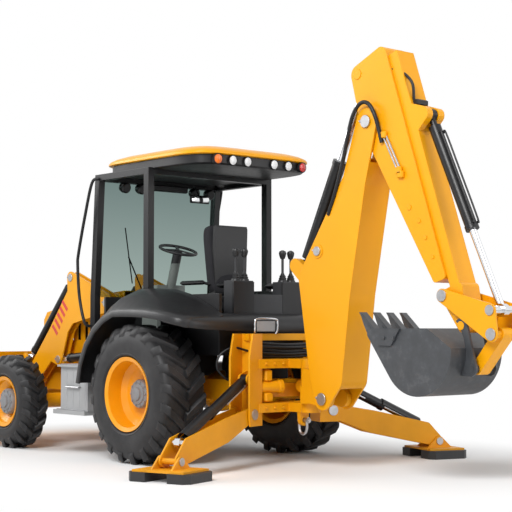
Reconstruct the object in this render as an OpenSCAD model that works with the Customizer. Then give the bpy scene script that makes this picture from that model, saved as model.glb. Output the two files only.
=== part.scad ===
/* [Chassis] */
// Distance between the axles
wheelbase = 2170; // [2050:1:2300]
// Half the distance between the outer faces of the two chassis rails
rail_y = 330; // [315:1:335]
// Thickness of a chassis rail
rail_t = 50; // [30:1:60]
// Underside of the chassis rails above the ground
rail_z = 560; // [540:1:600]
// Depth of a chassis rail
rail_h = 180; // [150:1:210]

/* [Wheels] */
// Radius of a rear tyre over its lugs
rear_tyre_r = 615; // [600:1:630]
// Width of a rear tyre
rear_tyre_w = 490; // [450:1:500]
// Radius of a rear rim at its flange
rear_rim_r = 330; // [300:1:350]
// Half the rear track
rear_track_y = 860; // [850:1:880]
// Radius of a front tyre over its lugs
front_tyre_r = 465; // [455:1:475]
// Width of a front tyre
front_tyre_w = 310; // [290:1:320]
// Radius of a front rim at its flange
front_rim_r = 250; // [235:1:265]
// Half the front track
front_track_y = 918; // [900:1:930]
// Distance of a kingpin from the middle of the machine
kingpin_y = 700; // [690:1:710]
// Radius of the wheel spindles
spindle_r = 50; // [40:1:60]
// Depth of the tread lugs
lug_h = 38; // [25:1:45]

/* [Cab] */
// Half width over the posts of the cab
cab_y = 750; // [730:1:770]
// Size of a post of the cab along the machine
post_d = 75; // [60:1:90]
// Size of a post of the cab across the machine
post_w = 65; // [50:1:80]
// Top of the cab floor
floor_z = 1000; // [980:1:1020]
// Height of the sills of the cab
sill_z = 1560; // [1540:1:1590]
// Underside of the roof
roof_z = 2670; // [2640:1:2700]
// Height of the roof
roof_h = 200; // [150:1:220]
// Half width of the roof
roof_y = 730; // [700:1:760]
// Thickness of the windscreen
glass_t = 8; // [5:1:12]
// Radius of the steering wheel
steering_wheel_r = 195; // [170:1:210]

/* [Loader] */
// Distance of a loader arm from the middle of the machine
arm_y = 425; // [425:1:430]
// Width of a loader arm
arm_w = 90; // [80:1:94]
// Thickness of the side plates of a loader arm
arm_t = 15; // [10:1:20]
// Width of the shovel
shovel_w = 2350; // [2200:1:2450]
// Thickness of the shovel's skin
shovel_t = 16; // [12:1:20]
// Angle that the shovel is rolled back
shovel_crowd = 42; // [35:1:45]
// Radius of the loader's pins
loader_pin_r = 28; // [22:1:32]

/* [Backhoe] */
// Half width over the side plates of the boom
boom_y = 150; // [145:1:165]
// Thickness of the boom's plates
boom_t = 18; // [12:1:20]
// Half width of the dipper
dipper_y = 122; // [115:1:124]
// Half width of the slider
slider_y = 100; // [90:1:105]
// Angle of the dipper from upright
dipper_tilt = 18.5; // [16:0.5:20]
// Length of the dipper below its pivot
dipper_len = 1500; // [1450:1:1510]
// Width of the digging bucket
bucket_w = 600; // [500:1:700]
// Thickness of the bucket's skin
bucket_t = 16; // [12:1:20]
// Number of teeth on the bucket
bucket_teeth = 4; // [3:1:5]
// Radius of the backhoe's pins
backhoe_pin_r = 34; // [28:1:38]
// Radius of the swing pins of the kingpost
swing_pin_r = 50; // [40:1:55]

/* [Stabilisers] */
// Angle that the legs point back
leg_splay = 18; // [12:1:20]
// Length of a leg from its hinge to the foot
leg_len = 1143; // [1100:1:1160]
// Half width of a leg
leg_y = 82; // [76:1:90]
// Thickness of the plates of a leg
leg_t = 16; // [12:1:18]
// Length of a foot pad
pad_len = 400; // [340:1:430]
// Width of a foot pad
pad_w = 190; // [150:1:210]
// Thickness of a foot pad
pad_h = 75; // [60:1:80]
// Radius of the pins of the legs
leg_pin_r = 25; // [20:1:28]

/* [Fits] */
// Clearance round a pin
pin_gap = 0.5; // [0.3:0.1:0.8]
// Clearance of a moving piece beside its neighbour
side_gap = 6; // [5:0.5:8]
// Clearance between faces of fixed pieces
seat_gap = 0.3; // [0:0.1:0.5]

/* [Hidden] */
$fn = 48;

// Points in side view, forward and up from the ground under the rear axle
loader_pivot = [1220, 1450];
shovel_pivot = [wheelbase + 810, 310];
lift_base = [1150, 960];
lift_end = [wheelbase - 90, 880];
lever_pivot = [wheelbase + 630, 490];
lever_link_r = 330;
lever_link_angle = 113;
lever_ram_r = 430;
lever_ram_angle = 109.5;
tilt_base = [wheelbase - 310, 1715];
torque_tube = [wheelbase + 435, 590];
boom_foot = [-1520, 600];
swing_x = -1220;
boom_ram_base = [-1380, 777];
boom_ram_end = [-1470, 1850];
dipper_pivot = [-2050, 2890];
dipper_ram_base = [-1160, 1740];
dipper_ram_end = [-1930, 3300];
slide_w = 362;
bucket_pivot = dip(dipper_len + 396.2, 388.4);
bucket_ram_base = [-2617, 2891];
bucket_lever_pin = bucket_pivot + [168, 231];
bucket_ram_end = bucket_lever_pin + [-468, -116];
bucket_lever_end = bucket_lever_pin + [-478, -296];
bucket_link_end = bucket_pivot + [-92, -327];
leg_hinge = [-915, 500, 460];
leg_drop = 310;
leg_ram_base = [-20, 300];
leg_ram_end = [990, 95];

// Pins of the shovel's linkage
ram_pin = polar(lever_pivot, lever_ram_r, lever_ram_angle);
link_pin = polar(lever_pivot, lever_link_r, lever_link_angle);
shovel_top_pin = polar(shovel_pivot, lever_link_r, lever_link_angle);

// The origin lies under the middle of the whole machine
lever_boss_r = 58;
shovel_lip = [904, -274];
shovel_lip_r = 16;
front_reach = shovel_pivot[0] + turned(shovel_lip, shovel_crowd)[0] + shovel_lip_r;
rear_reach = bucket_lever_end[0] - lever_boss_r;
rear_axle_x = -(front_reach + rear_reach) / 2;

paint = "#f2a900";
black = "#26262a";
grey = "#7d8084";
steel = "#c8ccd0";
rubber = "#1c1c1e";
dark = "#3a3a3e";

function turned(p, a) = [p[0] * cos(a) - p[1] * sin(a), p[0] * sin(a) + p[1] * cos(a)];
function polar(c, r, a) = [c[0] + r * cos(a), c[1] + r * sin(a)];
function span(p, q) = norm(q - p);
function boss(p, r) = [p[0], p[1], r];

// A point of the dipper: u down along it from its pivot, w back from its pivot
function dip(u, w) = [dipper_pivot[0] - sin(dipper_tilt) * u - cos(dipper_tilt) * w,
    dipper_pivot[1] - cos(dipper_tilt) * u + sin(dipper_tilt) * w];

// Outline round a ring of circles, given anticlockwise as [x, z, radius], a hair inside their edges
wrap_tuck = 0.05;

function wrap(ring) = [for (i = [0 : len(ring) - 1])
    let (a = ring[i],
        b = ring[(i + 1) % len(ring)],
        n = atan2(b[1] - a[1], b[0] - a[0]) - acos((a[2] - b[2]) / norm([b[0] - a[0], b[1] - a[1]])),
        side = [cos(n), sin(n)])
    each [[a[0], a[1]] + (a[2] - wrap_tuck) * side, [b[0], b[1]] + (b[2] - wrap_tuck) * side]];

module wrapped(ring) {
    polygon(wrap(ring));
    for (c = ring)
        translate([c[0], c[1]]) circle(c[2]);
}

// A side view shape given depth from y0 to y1
module xz(y0, y1) {
    translate([rear_axle_x, y1, 0])
        rotate([90, 0, 0])
            linear_extrude(y1 - y0) children();
}

// A shape seen along the machine given length from x0 to x1
module yz(x0, x1) {
    translate([rear_axle_x + x0, 0, 0])
        rotate([90, 0, 90])
            linear_extrude(x1 - x0) children();
}

// The same shape on both sides of the plane at y
module pair_xz(y, inner, outer) {
    xz(y - outer, y - inner) children();
    xz(y + inner, y + outer) children();
}

module spot(p) {
    translate([p[0], p[1]]) children();
}

module both_sides() {
    children();
    mirror([0, 1, 0]) children();
}

module pin(p, r, y0, y1) {
    xz(y0, y1) spot(p) circle(r);
}

// A block between two corners, forward from the rear axle
module block(low, high) {
    translate([rear_axle_x + low[0], low[1], low[2]])
        cube([high[0] - low[0], high[1] - low[1], high[2] - low[2]]);
}

// Stands the z axis along the line from p to q, in the side view plane at y
module along(p, q, y) {
    translate([rear_axle_x + p[0], y, p[1]])
        rotate([0, atan2(q[0] - p[0], q[1] - p[1]), 0]) children();
}

// A ram is [barrel length, barrel radius, rod radius, eye radius, eye width, pin radius, neck length]
gland_h = 36;
gland_rim = 5;
bore_floor = 20;
neck_step = 3;

module ram_barrel(size) {
    difference() {
        union() {
            translate([0, 0, size[6]]) cylinder(r = size[1], h = size[0] - size[6]);
            cylinder(r = size[4] / 2 - neck_step, h = size[6] + 1);
            translate([0, 0, size[0] - gland_h]) cylinder(r = size[1] + gland_rim, h = gland_h);
            rotate([90, 0, 0]) cylinder(r = size[3], h = size[4], center = true);
        }
        translate([0, 0, size[6] + bore_floor]) cylinder(r = size[2] + pin_gap, h = size[0]);
        rotate([90, 0, 0]) cylinder(r = size[5] + pin_gap, h = size[4] + 2, center = true);
    }
}

// A rod with its eye, whose pin reaches to both sides
module ram_rod(size, length, pin_reach) {
    cylinder(r = size[2], h = length);
    rotate([90, 0, 0]) cylinder(r = size[3], h = size[4], center = true);
    rotate([90, 0, 0]) cylinder(r = size[5], h = 2 * pin_reach, center = true);
}

lift_ram = [span(lift_base, lift_end) - 163, 44, 28, 50, 46, loader_pin_r, 75];
tilt_ram = [span(tilt_base, ram_pin) - 83, 42, 24, 46, 40, loader_pin_r, 130];
boom_ram = [960, 56, 36, 60, 70, backhoe_pin_r, 165];
dipper_ram = [980, 58, 34, 56, 60, backhoe_pin_r, 75];
bucket_ram = [span(bucket_ram_base, bucket_ram_end) - 682, 50, 30, 50, 60, backhoe_pin_r, 110];
leg_ram = [640, 45, 28, 44, 50, leg_pin_r, 70];

// Lengths of the rods from the pin
lift_rod_len = span(lift_base, lift_end) - 203;
tilt_rod_len = span(tilt_base, ram_pin) - 193;
boom_rod_len = 840;
dipper_rod_len = 880;
bucket_rod_len = span(bucket_ram_base, bucket_ram_end) - 872;
leg_rod_len = 600;

// Chassis: two rails, cross members and the loader's towers
tower_t = arm_y - arm_w / 2 - side_gap - rail_y;
tower_foot_r = 60;
rail_top = rail_z + rail_h;
rail_back = -820;
rail_front = wheelbase + 350;
cross_w = 80;
cross_inset = 30;
cradle_x = 130;
axle_tube_r = 105;
tie_hole_r = 22;
tie_tower = loader_pivot + [30, -300];

module frame() {
    foot_z = rail_z + tower_foot_r;
    color(paint) {
        difference() {
            both_sides() {
                block([rail_back, rail_y - rail_t, rail_z], [rail_front, rail_y, rail_top]);
                xz(rail_y, rail_y + tower_t) {
                    wrapped([[loader_pivot[0] - 75, foot_z, tower_foot_r],
                        [loader_pivot[0] + 200, foot_z, tower_foot_r], boss(loader_pivot, 95)]);
                    wrapped([[lift_base[0], foot_z, tower_foot_r], [lift_base[0] + 100, foot_z, tower_foot_r],
                        boss(lift_base, 62)]);
                }
            }
            pin(tie_tower, tie_hole_r, -rail_y - tower_t - 1, rail_y + tower_t + 1);
            translate([rear_axle_x, 0, rear_tyre_r])
                rotate([90, 0, 0]) cylinder(r = axle_tube_r + seat_gap, h = 2 * rail_y + 2, center = true);
        }
        both_sides() {
            pin(loader_pivot, loader_pin_r, rail_y + tower_t / 2, arm_y + arm_w / 2 + side_gap);
            pin(lift_base, loader_pin_r, rail_y + tower_t / 2, arm_y + lift_ram[4] / 2 + side_gap);
        }
        for (x = [rail_back, 620, wheelbase - cradle_x - cross_w, wheelbase + cradle_x, rail_front - cross_w])
            block([x, -rail_y + rail_t, rail_z + cross_inset],
                [x + cross_w, rail_y - rail_t, rail_top - cross_inset]);
    }
}

// Engine on its feet, with its sump between the rails
engine_y = 250;
engine_back = 1240;
engine_front = wheelbase - 90;

module engine() {
    base = rail_top + 20;
    foot = [120, 50, 60];
    color(dark) {
        block([engine_back, -engine_y, base], [engine_front, engine_y, 1330]);
        block([engine_back + 60, -180, rail_z - 60], [engine_front - 140, 180, base + 1]);
        both_sides()
            for (x = [engine_back + 60, engine_front - 200])
                block([x, engine_y - 10, rail_top], [x + foot[0], engine_y + foot[1], rail_top + foot[2]]);
    }
}

// Hood: a shell with a sloping top, open below and behind, with grille slots at the front
hood_back = 1120;
hood_front = wheelbase + 430;
hood_y = 318;
hood_t = 12;
hood_base = rail_top;

module hood_side(inset) {
    polygon([[hood_back - inset, hood_base - inset], [hood_front - inset, hood_base - inset],
        [hood_front - inset, 1290 - inset], [hood_front - 60 - inset, 1370 - inset],
        [hood_back + 520, 1530 - inset], [hood_back - inset, 1570 - inset]]);
}

module hood() {
    slots = 7;
    color(paint)
        difference() {
            xz(-hood_y, hood_y) hood_side(0);
            xz(-hood_y + hood_t, hood_y - hood_t) hood_side(hood_t);
            for (i = [0 : slots - 1])
                block([hood_front - 3 * hood_t, -hood_y + 50, hood_base + 60 + i * 62],
                    [hood_front + 1, hood_y - 50, hood_base + 100 + i * 62]);
            both_sides()
                for (i = [0 : 4])
                    block([1500 + i * 130, hood_y - 2 * hood_t, 1080],
                        [1560 + i * 130, hood_y + 1, 1260]);
        }
}

// Rear axle with its final drives
module rear_axle() {
    drum_y = rear_track_y - rear_tyre_w / 2 - 40;
    color(paint)
        translate([rear_axle_x, 0, rear_tyre_r]) {
            rotate([90, 0, 0]) cylinder(r = axle_tube_r, h = 2 * drum_y, center = true);
            sphere(r = 190);
            both_sides() {
                translate([0, drum_y - 120, 0]) rotate([-90, 0, 0]) cylinder(r = 150, h = 120);
                translate([0, drum_y, 0]) rotate([-90, 0, 0]) cylinder(r = 120, h = 90);
                translate([0, drum_y + 90, 0])
                    rotate([-90, 0, 0]) cylinder(r = spindle_r, h = rear_track_y + 60 - drum_y - 90);
            }
        }
}

// Front axle beam, its pivot block under the rails and its steering yokes
axle_end_y = kingpin_y - 60;
yoke_z = 95;
yoke_t = 40;

module front_axle() {
    color(paint)
        translate([rear_axle_x + wheelbase, 0, front_tyre_r]) {
            rotate([90, 0, 0]) cylinder(r = 70, h = 2 * axle_end_y, center = true);
            sphere(r = 150);
            translate([-cradle_x + seat_gap, -110, 0])
                cube([2 * (cradle_x - seat_gap), 220, rail_top - cross_inset - front_tyre_r]);
            both_sides()
                for (side = [-1, 1]) {
                    translate([-60, axle_end_y - 60, side * yoke_z - yoke_t / 2]) cube([120, 60, yoke_t]);
                    translate([0, kingpin_y, side * yoke_z]) cylinder(r = 55, h = yoke_t, center = true);
                    translate([-55, axle_end_y - 5, side * yoke_z - yoke_t / 2])
                        cube([110, kingpin_y - axle_end_y + 5, yoke_t]);
                    translate([-60, axle_end_y - 60, min(0, side * yoke_z)]) cube([120, 50, yoke_z]);
                }
        }
}

// A steering knuckle between the yokes, with the spindle of its wheel
module knuckle() {
    reach = front_track_y + 40;
    color(grey)
        translate([rear_axle_x + wheelbase, 0, front_tyre_r]) {
            translate([0, kingpin_y, 0])
                cylinder(r = 50, h = 2 * yoke_z - yoke_t - 2 * pin_gap, center = true);
            translate([0, kingpin_y, 0]) rotate([-90, 0, 0]) cylinder(r = 70, h = 70);
            translate([0, kingpin_y, 0]) rotate([-90, 0, 0]) cylinder(r = spindle_r, h = reach - kingpin_y);
            translate([-190, kingpin_y + 15, -20]) cube([170, 30, 40]);
        }
}

module knuckle_l() {
    knuckle();
}

module knuckle_r() {
    mirror([0, 1, 0]) knuckle();
}

// Tyres are turned about their own middle plane
module tyre(r, w, rim) {
    seat = rim - 22;
    color(rubber)
        rotate([90, 0, 0])
            rotate_extrude($fn = 72)
                polygon([[seat + seat_gap, -w / 2 + 47], [rim + 6, -w / 2 + 33], [rim + 14, -w / 2 + 10],
                    [(r + rim) / 2, -w / 2], [r - lug_h, -w / 2 + 30], [r, -w / 2 + 55], [r, w / 2 - 55],
                    [r - lug_h, w / 2 - 30], [(r + rim) / 2, w / 2], [rim + 14, w / 2 - 10],
                    [rim + 6, w / 2 - 33], [seat + seat_gap, w / 2 - 47]]);
}

// Rims: flanged barrel, dished disc and hub, with the outer face towards +y
module rim(r, w, dish) {
    seat = r - 22;
    flange = 14;
    color(paint)
        rotate([-90, 0, 0])
            difference() {
                rotate_extrude($fn = 72)
                    polygon([[spindle_r + pin_gap, -40], [125, -40], [125, dish - 30], [seat - 60, dish],
                        [seat - 20, dish + 20], [seat - 20, -w / 2 + 45], [seat - 14, -w / 2 + 30],
                        [r, -w / 2 + 30 - flange], [r, -w / 2 + 30], [seat, -w / 2 + 45], [seat, w / 2 - 45],
                        [r, w / 2 - 30], [r, w / 2 - 30 + flange], [seat - 14, w / 2 - 30],
                        [seat - 20, dish + 60], [seat - 70, dish + 22], [125, dish - 8],
                        [125, dish + 45], [90, dish + 70], [spindle_r + pin_gap, dish + 70]]);
            }
}

module rear_wheel_place(side) {
    translate([rear_axle_x, side * rear_track_y, rear_tyre_r])
        mirror([0, side < 0 ? 1 : 0, 0]) children();
}

module front_wheel_place(side) {
    translate([rear_axle_x + wheelbase, side * front_track_y, front_tyre_r])
        mirror([0, side < 0 ? 1 : 0, 0]) children();
}

rear_dish = 20;
front_dish = 30;

module tyre_rl() {
    rear_wheel_place(1) tyre(rear_tyre_r, rear_tyre_w, rear_rim_r);
}

module tyre_rr() {
    rear_wheel_place(-1) tyre(rear_tyre_r, rear_tyre_w, rear_rim_r);
}

module tyre_fl() {
    front_wheel_place(1) tyre(front_tyre_r, front_tyre_w, front_rim_r);
}

module tyre_fr() {
    front_wheel_place(-1) tyre(front_tyre_r, front_tyre_w, front_rim_r);
}

module rim_rl() {
    rear_wheel_place(1) rim(rear_rim_r, rear_tyre_w, rear_dish);
}

module rim_rr() {
    rear_wheel_place(-1) rim(rear_rim_r, rear_tyre_w, rear_dish);
}

module rim_fl() {
    front_wheel_place(1) rim(front_rim_r, front_tyre_w, front_dish);
}

module rim_fr() {
    front_wheel_place(-1) rim(front_rim_r, front_tyre_w, front_dish);
}

// Cab floor on the rails, with a footwell front and a rear bulkhead under the seat
cab_back = -700;
cab_front = 1060;
floor_y = 600;
bearer_w = 100;
glass_z = sill_z - 60;

module platform() {
    floor_t = 40;
    wall = 30;
    color(black) {
        block([cab_back, -floor_y, floor_z - floor_t], [cab_front, floor_y, floor_z]);
        for (x = [-560, 460])
            block([x, -rail_y, rail_top], [x + bearer_w, rail_y, floor_z - floor_t]);
        block([cab_front - wall, -floor_y, floor_z], [cab_front, floor_y, glass_z]);
        both_sides() block([cab_back, floor_y - wall, floor_z], [150, floor_y, glass_z]);
        block([cab_back, -floor_y, floor_z], [cab_back + wall, floor_y, 1180]);
    }
}

// Fenders over the rear wheels
fender_out = 1130;
fender_gap = 85;

module fenders() {
    arch_r = rear_tyre_r + fender_gap;
    skin = 26;
    color(black)
        both_sides()
            difference() {
                union() {
                    yz(-760, 420)
                        polygon([[floor_y + seat_gap, 1200], [fender_out, 1230], [fender_out, 1290],
                            [1060, 1350], [cab_y + 30, sill_z - 20], [cab_y, sill_z],
                            [floor_y + seat_gap, sill_z]]);
                    xz(floor_y + seat_gap, fender_out)
                        intersection() {
                            spot([0, rear_tyre_r]) circle(arch_r + skin);
                            polygon([[200, rear_tyre_r + 120], [900, rear_tyre_r + 120], [900, 1330],
                                [200, 1330]]);
                        }
                }
                xz(floor_y, fender_out + 10) spot([0, rear_tyre_r]) circle(arch_r);
            }
}

// Cab frame: posts, top rails and a windscreen header
post_front = 1000;
post_top = 930;
post_rear = 140;
post_rail = 60;

module canopy() {
    color(black) {
        both_sides() {
            xz(cab_y - post_w, cab_y)
                polygon([[post_front, floor_z], [post_front + post_d, floor_z],
                    [post_front + post_d, glass_z], [post_top + post_d, roof_z],
                    [post_top, roof_z], [post_front, glass_z]]);
            block([post_rear, cab_y - post_w, sill_z + seat_gap], [post_rear + post_d, cab_y, roof_z]);
            block([post_rear, cab_y - post_w, roof_z - post_rail], [post_top, cab_y, roof_z]);
        }
        block([post_top, -cab_y, roof_z - post_rail], [post_top + post_d, cab_y, roof_z]);
        block([post_rear, -cab_y, roof_z - post_rail], [post_rear + post_d, cab_y, roof_z]);
        block([cab_front + seat_gap, -cab_y, floor_z], [post_front + post_d, cab_y, floor_z + post_rail]);
    }
}

// Roof: crowned across and along, overhanging behind, with a set-back band for the lamps
roof_back = -590;
roof_front = 1010;
band_h = 72;
band_inset = 40;

module roof() {
    crown = roof_h - 90;
    color(paint)
        intersection() {
            xz(-roof_y, roof_y)
                polygon([[roof_back, roof_z + band_h], [roof_back + band_inset, roof_z + band_h],
                    [roof_back + band_inset, roof_z], [roof_front, roof_z], [roof_front + 20, roof_z + 70], 
                    [roof_front - 60, roof_z + crown + 30], [200, roof_z + roof_h], [-150, roof_z + roof_h], [roof_back + 40, roof_z + crown]]);
            yz(2 * roof_back, 2 * roof_front)
                polygon([[-roof_y, roof_z], [roof_y, roof_z], [roof_y, roof_z + 80],
                    [roof_y - 90, roof_z + 150], [roof_y - 330, roof_z + roof_h],
                    [-roof_y + 330, roof_z + roof_h], [-roof_y + 90, roof_z + 150],
                    [-roof_y, roof_z + 80]]);
        }
}

// Work lamps and flashers along the rear edge of the roof
lamp_r = 34;
lamp_t = 36;

module lamps() {
    color("white")
        both_sides()
            for (y = [160, 335, 508])
                translate([rear_axle_x + roof_back + band_inset - seat_gap - lamp_t, y, roof_z + band_h / 2])
                    rotate([0, 90, 0]) cylinder(r = lamp_r, h = lamp_t);
}

// Windscreen between the front posts
module windscreen() {
    color("#9fc4b8")
        xz(-cab_y + post_w + seat_gap, cab_y - post_w - seat_gap)
            polygon([[post_front + 40, glass_z], [post_front + 40 + glass_t, glass_z],
                [post_top + 40 + glass_t, roof_z - post_rail - seat_gap],
                [post_top + 40, roof_z - post_rail - seat_gap]]);
}

// Steering column, its wheel and the instrument panel
wheel_at = [670, 1960];

module dash() {
    color(grey) {
        block([780, -170, floor_z], [cab_front - 30 - seat_gap, 170, 1620]);
        along([800, 1560], wheel_at, 0) cylinder(r = 45, h = span([800, 1560], wheel_at));
        along(wheel_at, [800, 1560], 0) {
            rotate_extrude($fn = 48) translate([steering_wheel_r - 14, 0]) circle(14, $fn = 16);
            for (a = [90, 210, 330])
                rotate([0, 0, a])
                    translate([0, -15, -6]) cube([steering_wheel_r - 14, 30, 12]);
        }
    }
}

// Driver's seat on its pedestal
module seat() {
    color(dark) {
        block([-60, -180, floor_z], [300, 180, 1350]);
        block([-80, -235, 1350], [400, 235, 1500]);
        xz(-225, 225)
            polygon([[-80, 1500], [60, 1500], [-30, 2180], [-140, 2180]]);
    }
}

// Rear control consoles with their levers
module consoles() {
    color(dark) {
        both_sides() {
            block([-665, 180, floor_z], [-520, 400, 1620]);
            for (y = [230, 330])
                translate([rear_axle_x - 600, y, 1620]) {
                    cylinder(r = 12, h = 260);
                    translate([0, 0, 260]) sphere(r = 32);
                }
        }
        block([-665, -180, floor_z], [-540, 180, 1500]);
    }
}

// Tool box and tank beside the chassis, with steps that end short of the front tyres
box_back = 840;
box_len = 460;
step_front = wheelbase - front_tyre_r - 315;

module side_boxes() {
    color(grey)
        both_sides() {
            block([box_back, rail_y + tower_t + seat_gap, 420], [box_back + box_len, 930, 830]);
            block([box_back - 20, 560, 830], [box_back + box_len + 20, 960, 850]);
            block([box_back + 10, 700, 380], [step_front, 960, 420]);
        }
}

// Rear frame that carries the kingpost and the legs
frame_back = -1000;
lug_low = 470;
lug_high = 850;
lug_t = 80;
swing_hub_r = 85;
lug_neck_y = 60;
tower_plate = 18;
tie_rear = [-1120, 400];
tie_eye_t = 36;

// Channel that a leg hinges in, with the ears of its ram
module leg_tower() {
    inner = leg_y + side_gap;
    ear_in = leg_ram[4] / 2 + side_gap;
    bottom = -100;
    top = 690;
    for (x0 = [-inner - tower_plate, inner])
        leg_plane(x0, x0 + tower_plate)
            polygon([[-130, bottom], [60, bottom], [75, bottom + 60], [75, top - 200], [20, top], [-130, top]]);
    leg_plane(-inner - 1, inner + 1)
        polygon([[-130, bottom], [-112, bottom], [-112, top], [-130, top]]);
    for (x0 = [-ear_in - 18, ear_in])
        leg_plane(x0, x0 + 18)
            wrapped([boss(leg_ram_base, 46), [-118, leg_ram_base[1] + 60, 12], [-118, leg_ram_base[1] - 60, 12]]);
    leg_plane(-ear_in - 5, ear_in + 5) spot(leg_ram_base) circle(leg_pin_r);
    leg_plane(-inner - 5, inner + 5) circle(leg_pin_r);
}

module rear_frame() {
    color(paint)
        difference() {
            union() {
                for (side = [-1, 1])
                    leg_place(side) leg_tower();
                for (z = [lug_low, lug_high]) {
                    block([frame_back, -400, z], [rail_back, 400, z + lug_t]);
                    block([swing_x, -lug_neck_y, z], [frame_back + 1, lug_neck_y, z + lug_t]);
                    translate([rear_axle_x + swing_x, 0, z]) cylinder(r = swing_hub_r, h = lug_t);
                }
                block([rail_back - 60, -420, 1090], [rail_back, 420, 1150]);
                both_sides() block([rail_back - 60, rail_y - rail_t, lug_low], [rail_back, rail_y, 1100]);
                yz(tie_rear[0] - tie_eye_t / 2, tie_rear[0] + tie_eye_t / 2)
                    wrapped([[0, tie_rear[1], 48], [35, lug_low + 10, 20], [-35, lug_low + 10, 20]]);
            }
            yz(tie_rear[0] - tie_eye_t, tie_rear[0] + tie_eye_t) spot([0, tie_rear[1]]) circle(tie_hole_r);
            translate([rear_axle_x + swing_x, 0, 0]) cylinder(r = swing_pin_r + pin_gap, h = 1200);
        }
}

// Kingpost: hub between the lugs, swing pin and two cheeks that hold the boom and its ram
cheek_in = 75;
cheek_out = boom_y - boom_t - side_gap;

module kingpost() {
    hub_z0 = lug_low + lug_t + pin_gap;
    hub_z1 = lug_high - pin_gap;
    color(paint) {
        translate([rear_axle_x + swing_x, 0, lug_low]) cylinder(r = swing_pin_r, h = lug_high + lug_t - lug_low);
        translate([rear_axle_x + swing_x, 0, hub_z0]) cylinder(r = swing_hub_r, h = hub_z1 - hub_z0);
        xz(-cheek_out, cheek_out)
            polygon([[swing_x, hub_z0], [swing_x - 100, hub_z0], [swing_x - 100, 700], [swing_x, 700]]);
        both_sides()
            xz(cheek_in, cheek_out)
                wrapped([boss(boom_foot, 72), [swing_x - 60, hub_z0 + 52, 40], [swing_x - 60, hub_z1 - 40, 40],
                    boss(boom_ram_base, 62)]);
        both_sides() pin(boom_foot, backhoe_pin_r, cheek_in + 5, boom_y + 8);
        pin(boom_ram_base, backhoe_pin_r, -cheek_in - 5, cheek_in + 5);
    }
}

// Boom: two bellied side plates, closed behind and over the top, open in front round its ram
boom_neck = [-1900, 2400];
boom_belly = [-1340, 1620];
boom_back = [-1710, 1500];
boom_fork_r = 335;

module boom_outline(inset) {
    wrapped([boss(boom_foot, 95 - inset), [-1450, 800, 85 - inset], boss(boom_belly, 110 - inset),
        boss(boom_back, 145 - inset), [-1650, 770, 105 - inset]]);
    wrapped([boss(boom_belly, 110 - inset), boss(boom_neck, 135 - inset), boss(boom_back, 145 - inset)]);
    wrapped([boss(boom_neck, 135 - inset), boss(dipper_pivot, 115 - inset)]);
}

module boom() {
    inner = boom_y - boom_t;
    lug_in = boom_ram[1] + gland_rim + side_gap;
    color(paint) {
        difference() {
            xz(-boom_y, boom_y) boom_outline(0);
            xz(-inner, inner) boom_outline(boom_t);
            xz(-inner, inner)
                polygon([[-1000, 400], [-1000, 2060], [-1560, 2060], [-1560, 1600], [-1610, 1000], [-1640, 840],
                    [-1720, 700], [-1720, 400]]);
            xz(-inner, inner) spot(dipper_pivot) circle(boom_fork_r);
            pin(boom_foot, backhoe_pin_r + pin_gap, -boom_y - 1, boom_y + 1);
        }
        pin(dipper_pivot, backhoe_pin_r, -boom_y - 8, boom_y + 8);
        both_sides() {
            pin(boom_ram_end, 60, boom_y, boom_y + 8);
            xz(lug_in, inner + 1)
                wrapped([boss(dipper_ram_base, 62), boss(boom_belly, 60), [-1310, 1590, 50]]);
        }
        pin(dipper_ram_base, backhoe_pin_r, -lug_in - 5, lug_in + 5);
    }
}

module boom_barrel() {
    color(black) along(boom_ram_base, boom_ram_end, 0) ram_barrel(boom_ram);
}

module boom_rod() {
    color(steel)
        along(boom_ram_end, boom_ram_base, 0)
            ram_rod(boom_ram, boom_rod_len, boom_y - boom_t - side_gap);
}

// Dipper: a box with a slot for the ram at its head and a tee rail for the slider behind
rail_stem = 40;
rail_head = 66;
rail_reach = 60;
dipper_top = -430;
dipper_slot_y = dipper_ram[1] + gland_rim + side_gap;

module dipper() {
    slot = dipper_slot_y;
    low = dipper_len;
    color(paint)
        difference() {
            union() {
                xz(-dipper_y, dipper_y) {
                    wrapped([boss(dip(-470, slide_w - 62), 62), boss(dip(low - 30, slide_w - 30), 30),
                        boss(dip(low - 30, 262), 30), boss(dipper_pivot, 95), boss(dipper_ram_end, 80)]);
                }
                xz(-rail_stem, rail_stem)
                    polygon([dip(dipper_top, slide_w - 20), dip(low, slide_w - 20),
                        dip(low, slide_w + rail_reach), dip(dipper_top, slide_w + rail_reach)]);
                xz(-rail_head, rail_head)
                    polygon([dip(dipper_top, slide_w + rail_reach - 24), dip(low, slide_w + rail_reach - 24),
                        dip(low, slide_w + rail_reach), dip(dipper_top, slide_w + rail_reach)]);
            }
            pin(dipper_pivot, backhoe_pin_r + pin_gap, -dipper_y - 1, dipper_y + 1);
            xz(-slot, slot)
                polygon([dip(-700, -400), dip(-110, -400), dip(-110, 120), dip(-330, 160), dip(-700, 160)]);
            xz(-dipper_y - 1, dipper_y + 1)
                polygon([dip(-700, slide_w), dip(dipper_top - 1, slide_w), dip(dipper_top - 1, slide_w + 300),
                    dip(-700, slide_w + 300)]);
        }
}

module dipper_barrel() {
    color(black) along(dipper_ram_base, dipper_ram_end, 0) ram_barrel(dipper_ram);
}

module dipper_rod() {
    color(steel)
        along(dipper_ram_end, dipper_ram_base, 0)
            ram_rod(dipper_ram, dipper_rod_len, dipper_slot_y - side_gap);
}

// Layers across the nose: slider, bucket ears, then the plates of the bucket lever
bucket_ear_in = slider_y + side_gap;
bucket_ear_t = 22;
lever_in = bucket_ear_in + bucket_ear_t + side_gap;
lever_t = 16;
pin_head = 3;

// Slider that runs on the dipper's rail and carries the bucket at its nose
slider_gap = 0.8;
slider_d = 96;

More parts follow.
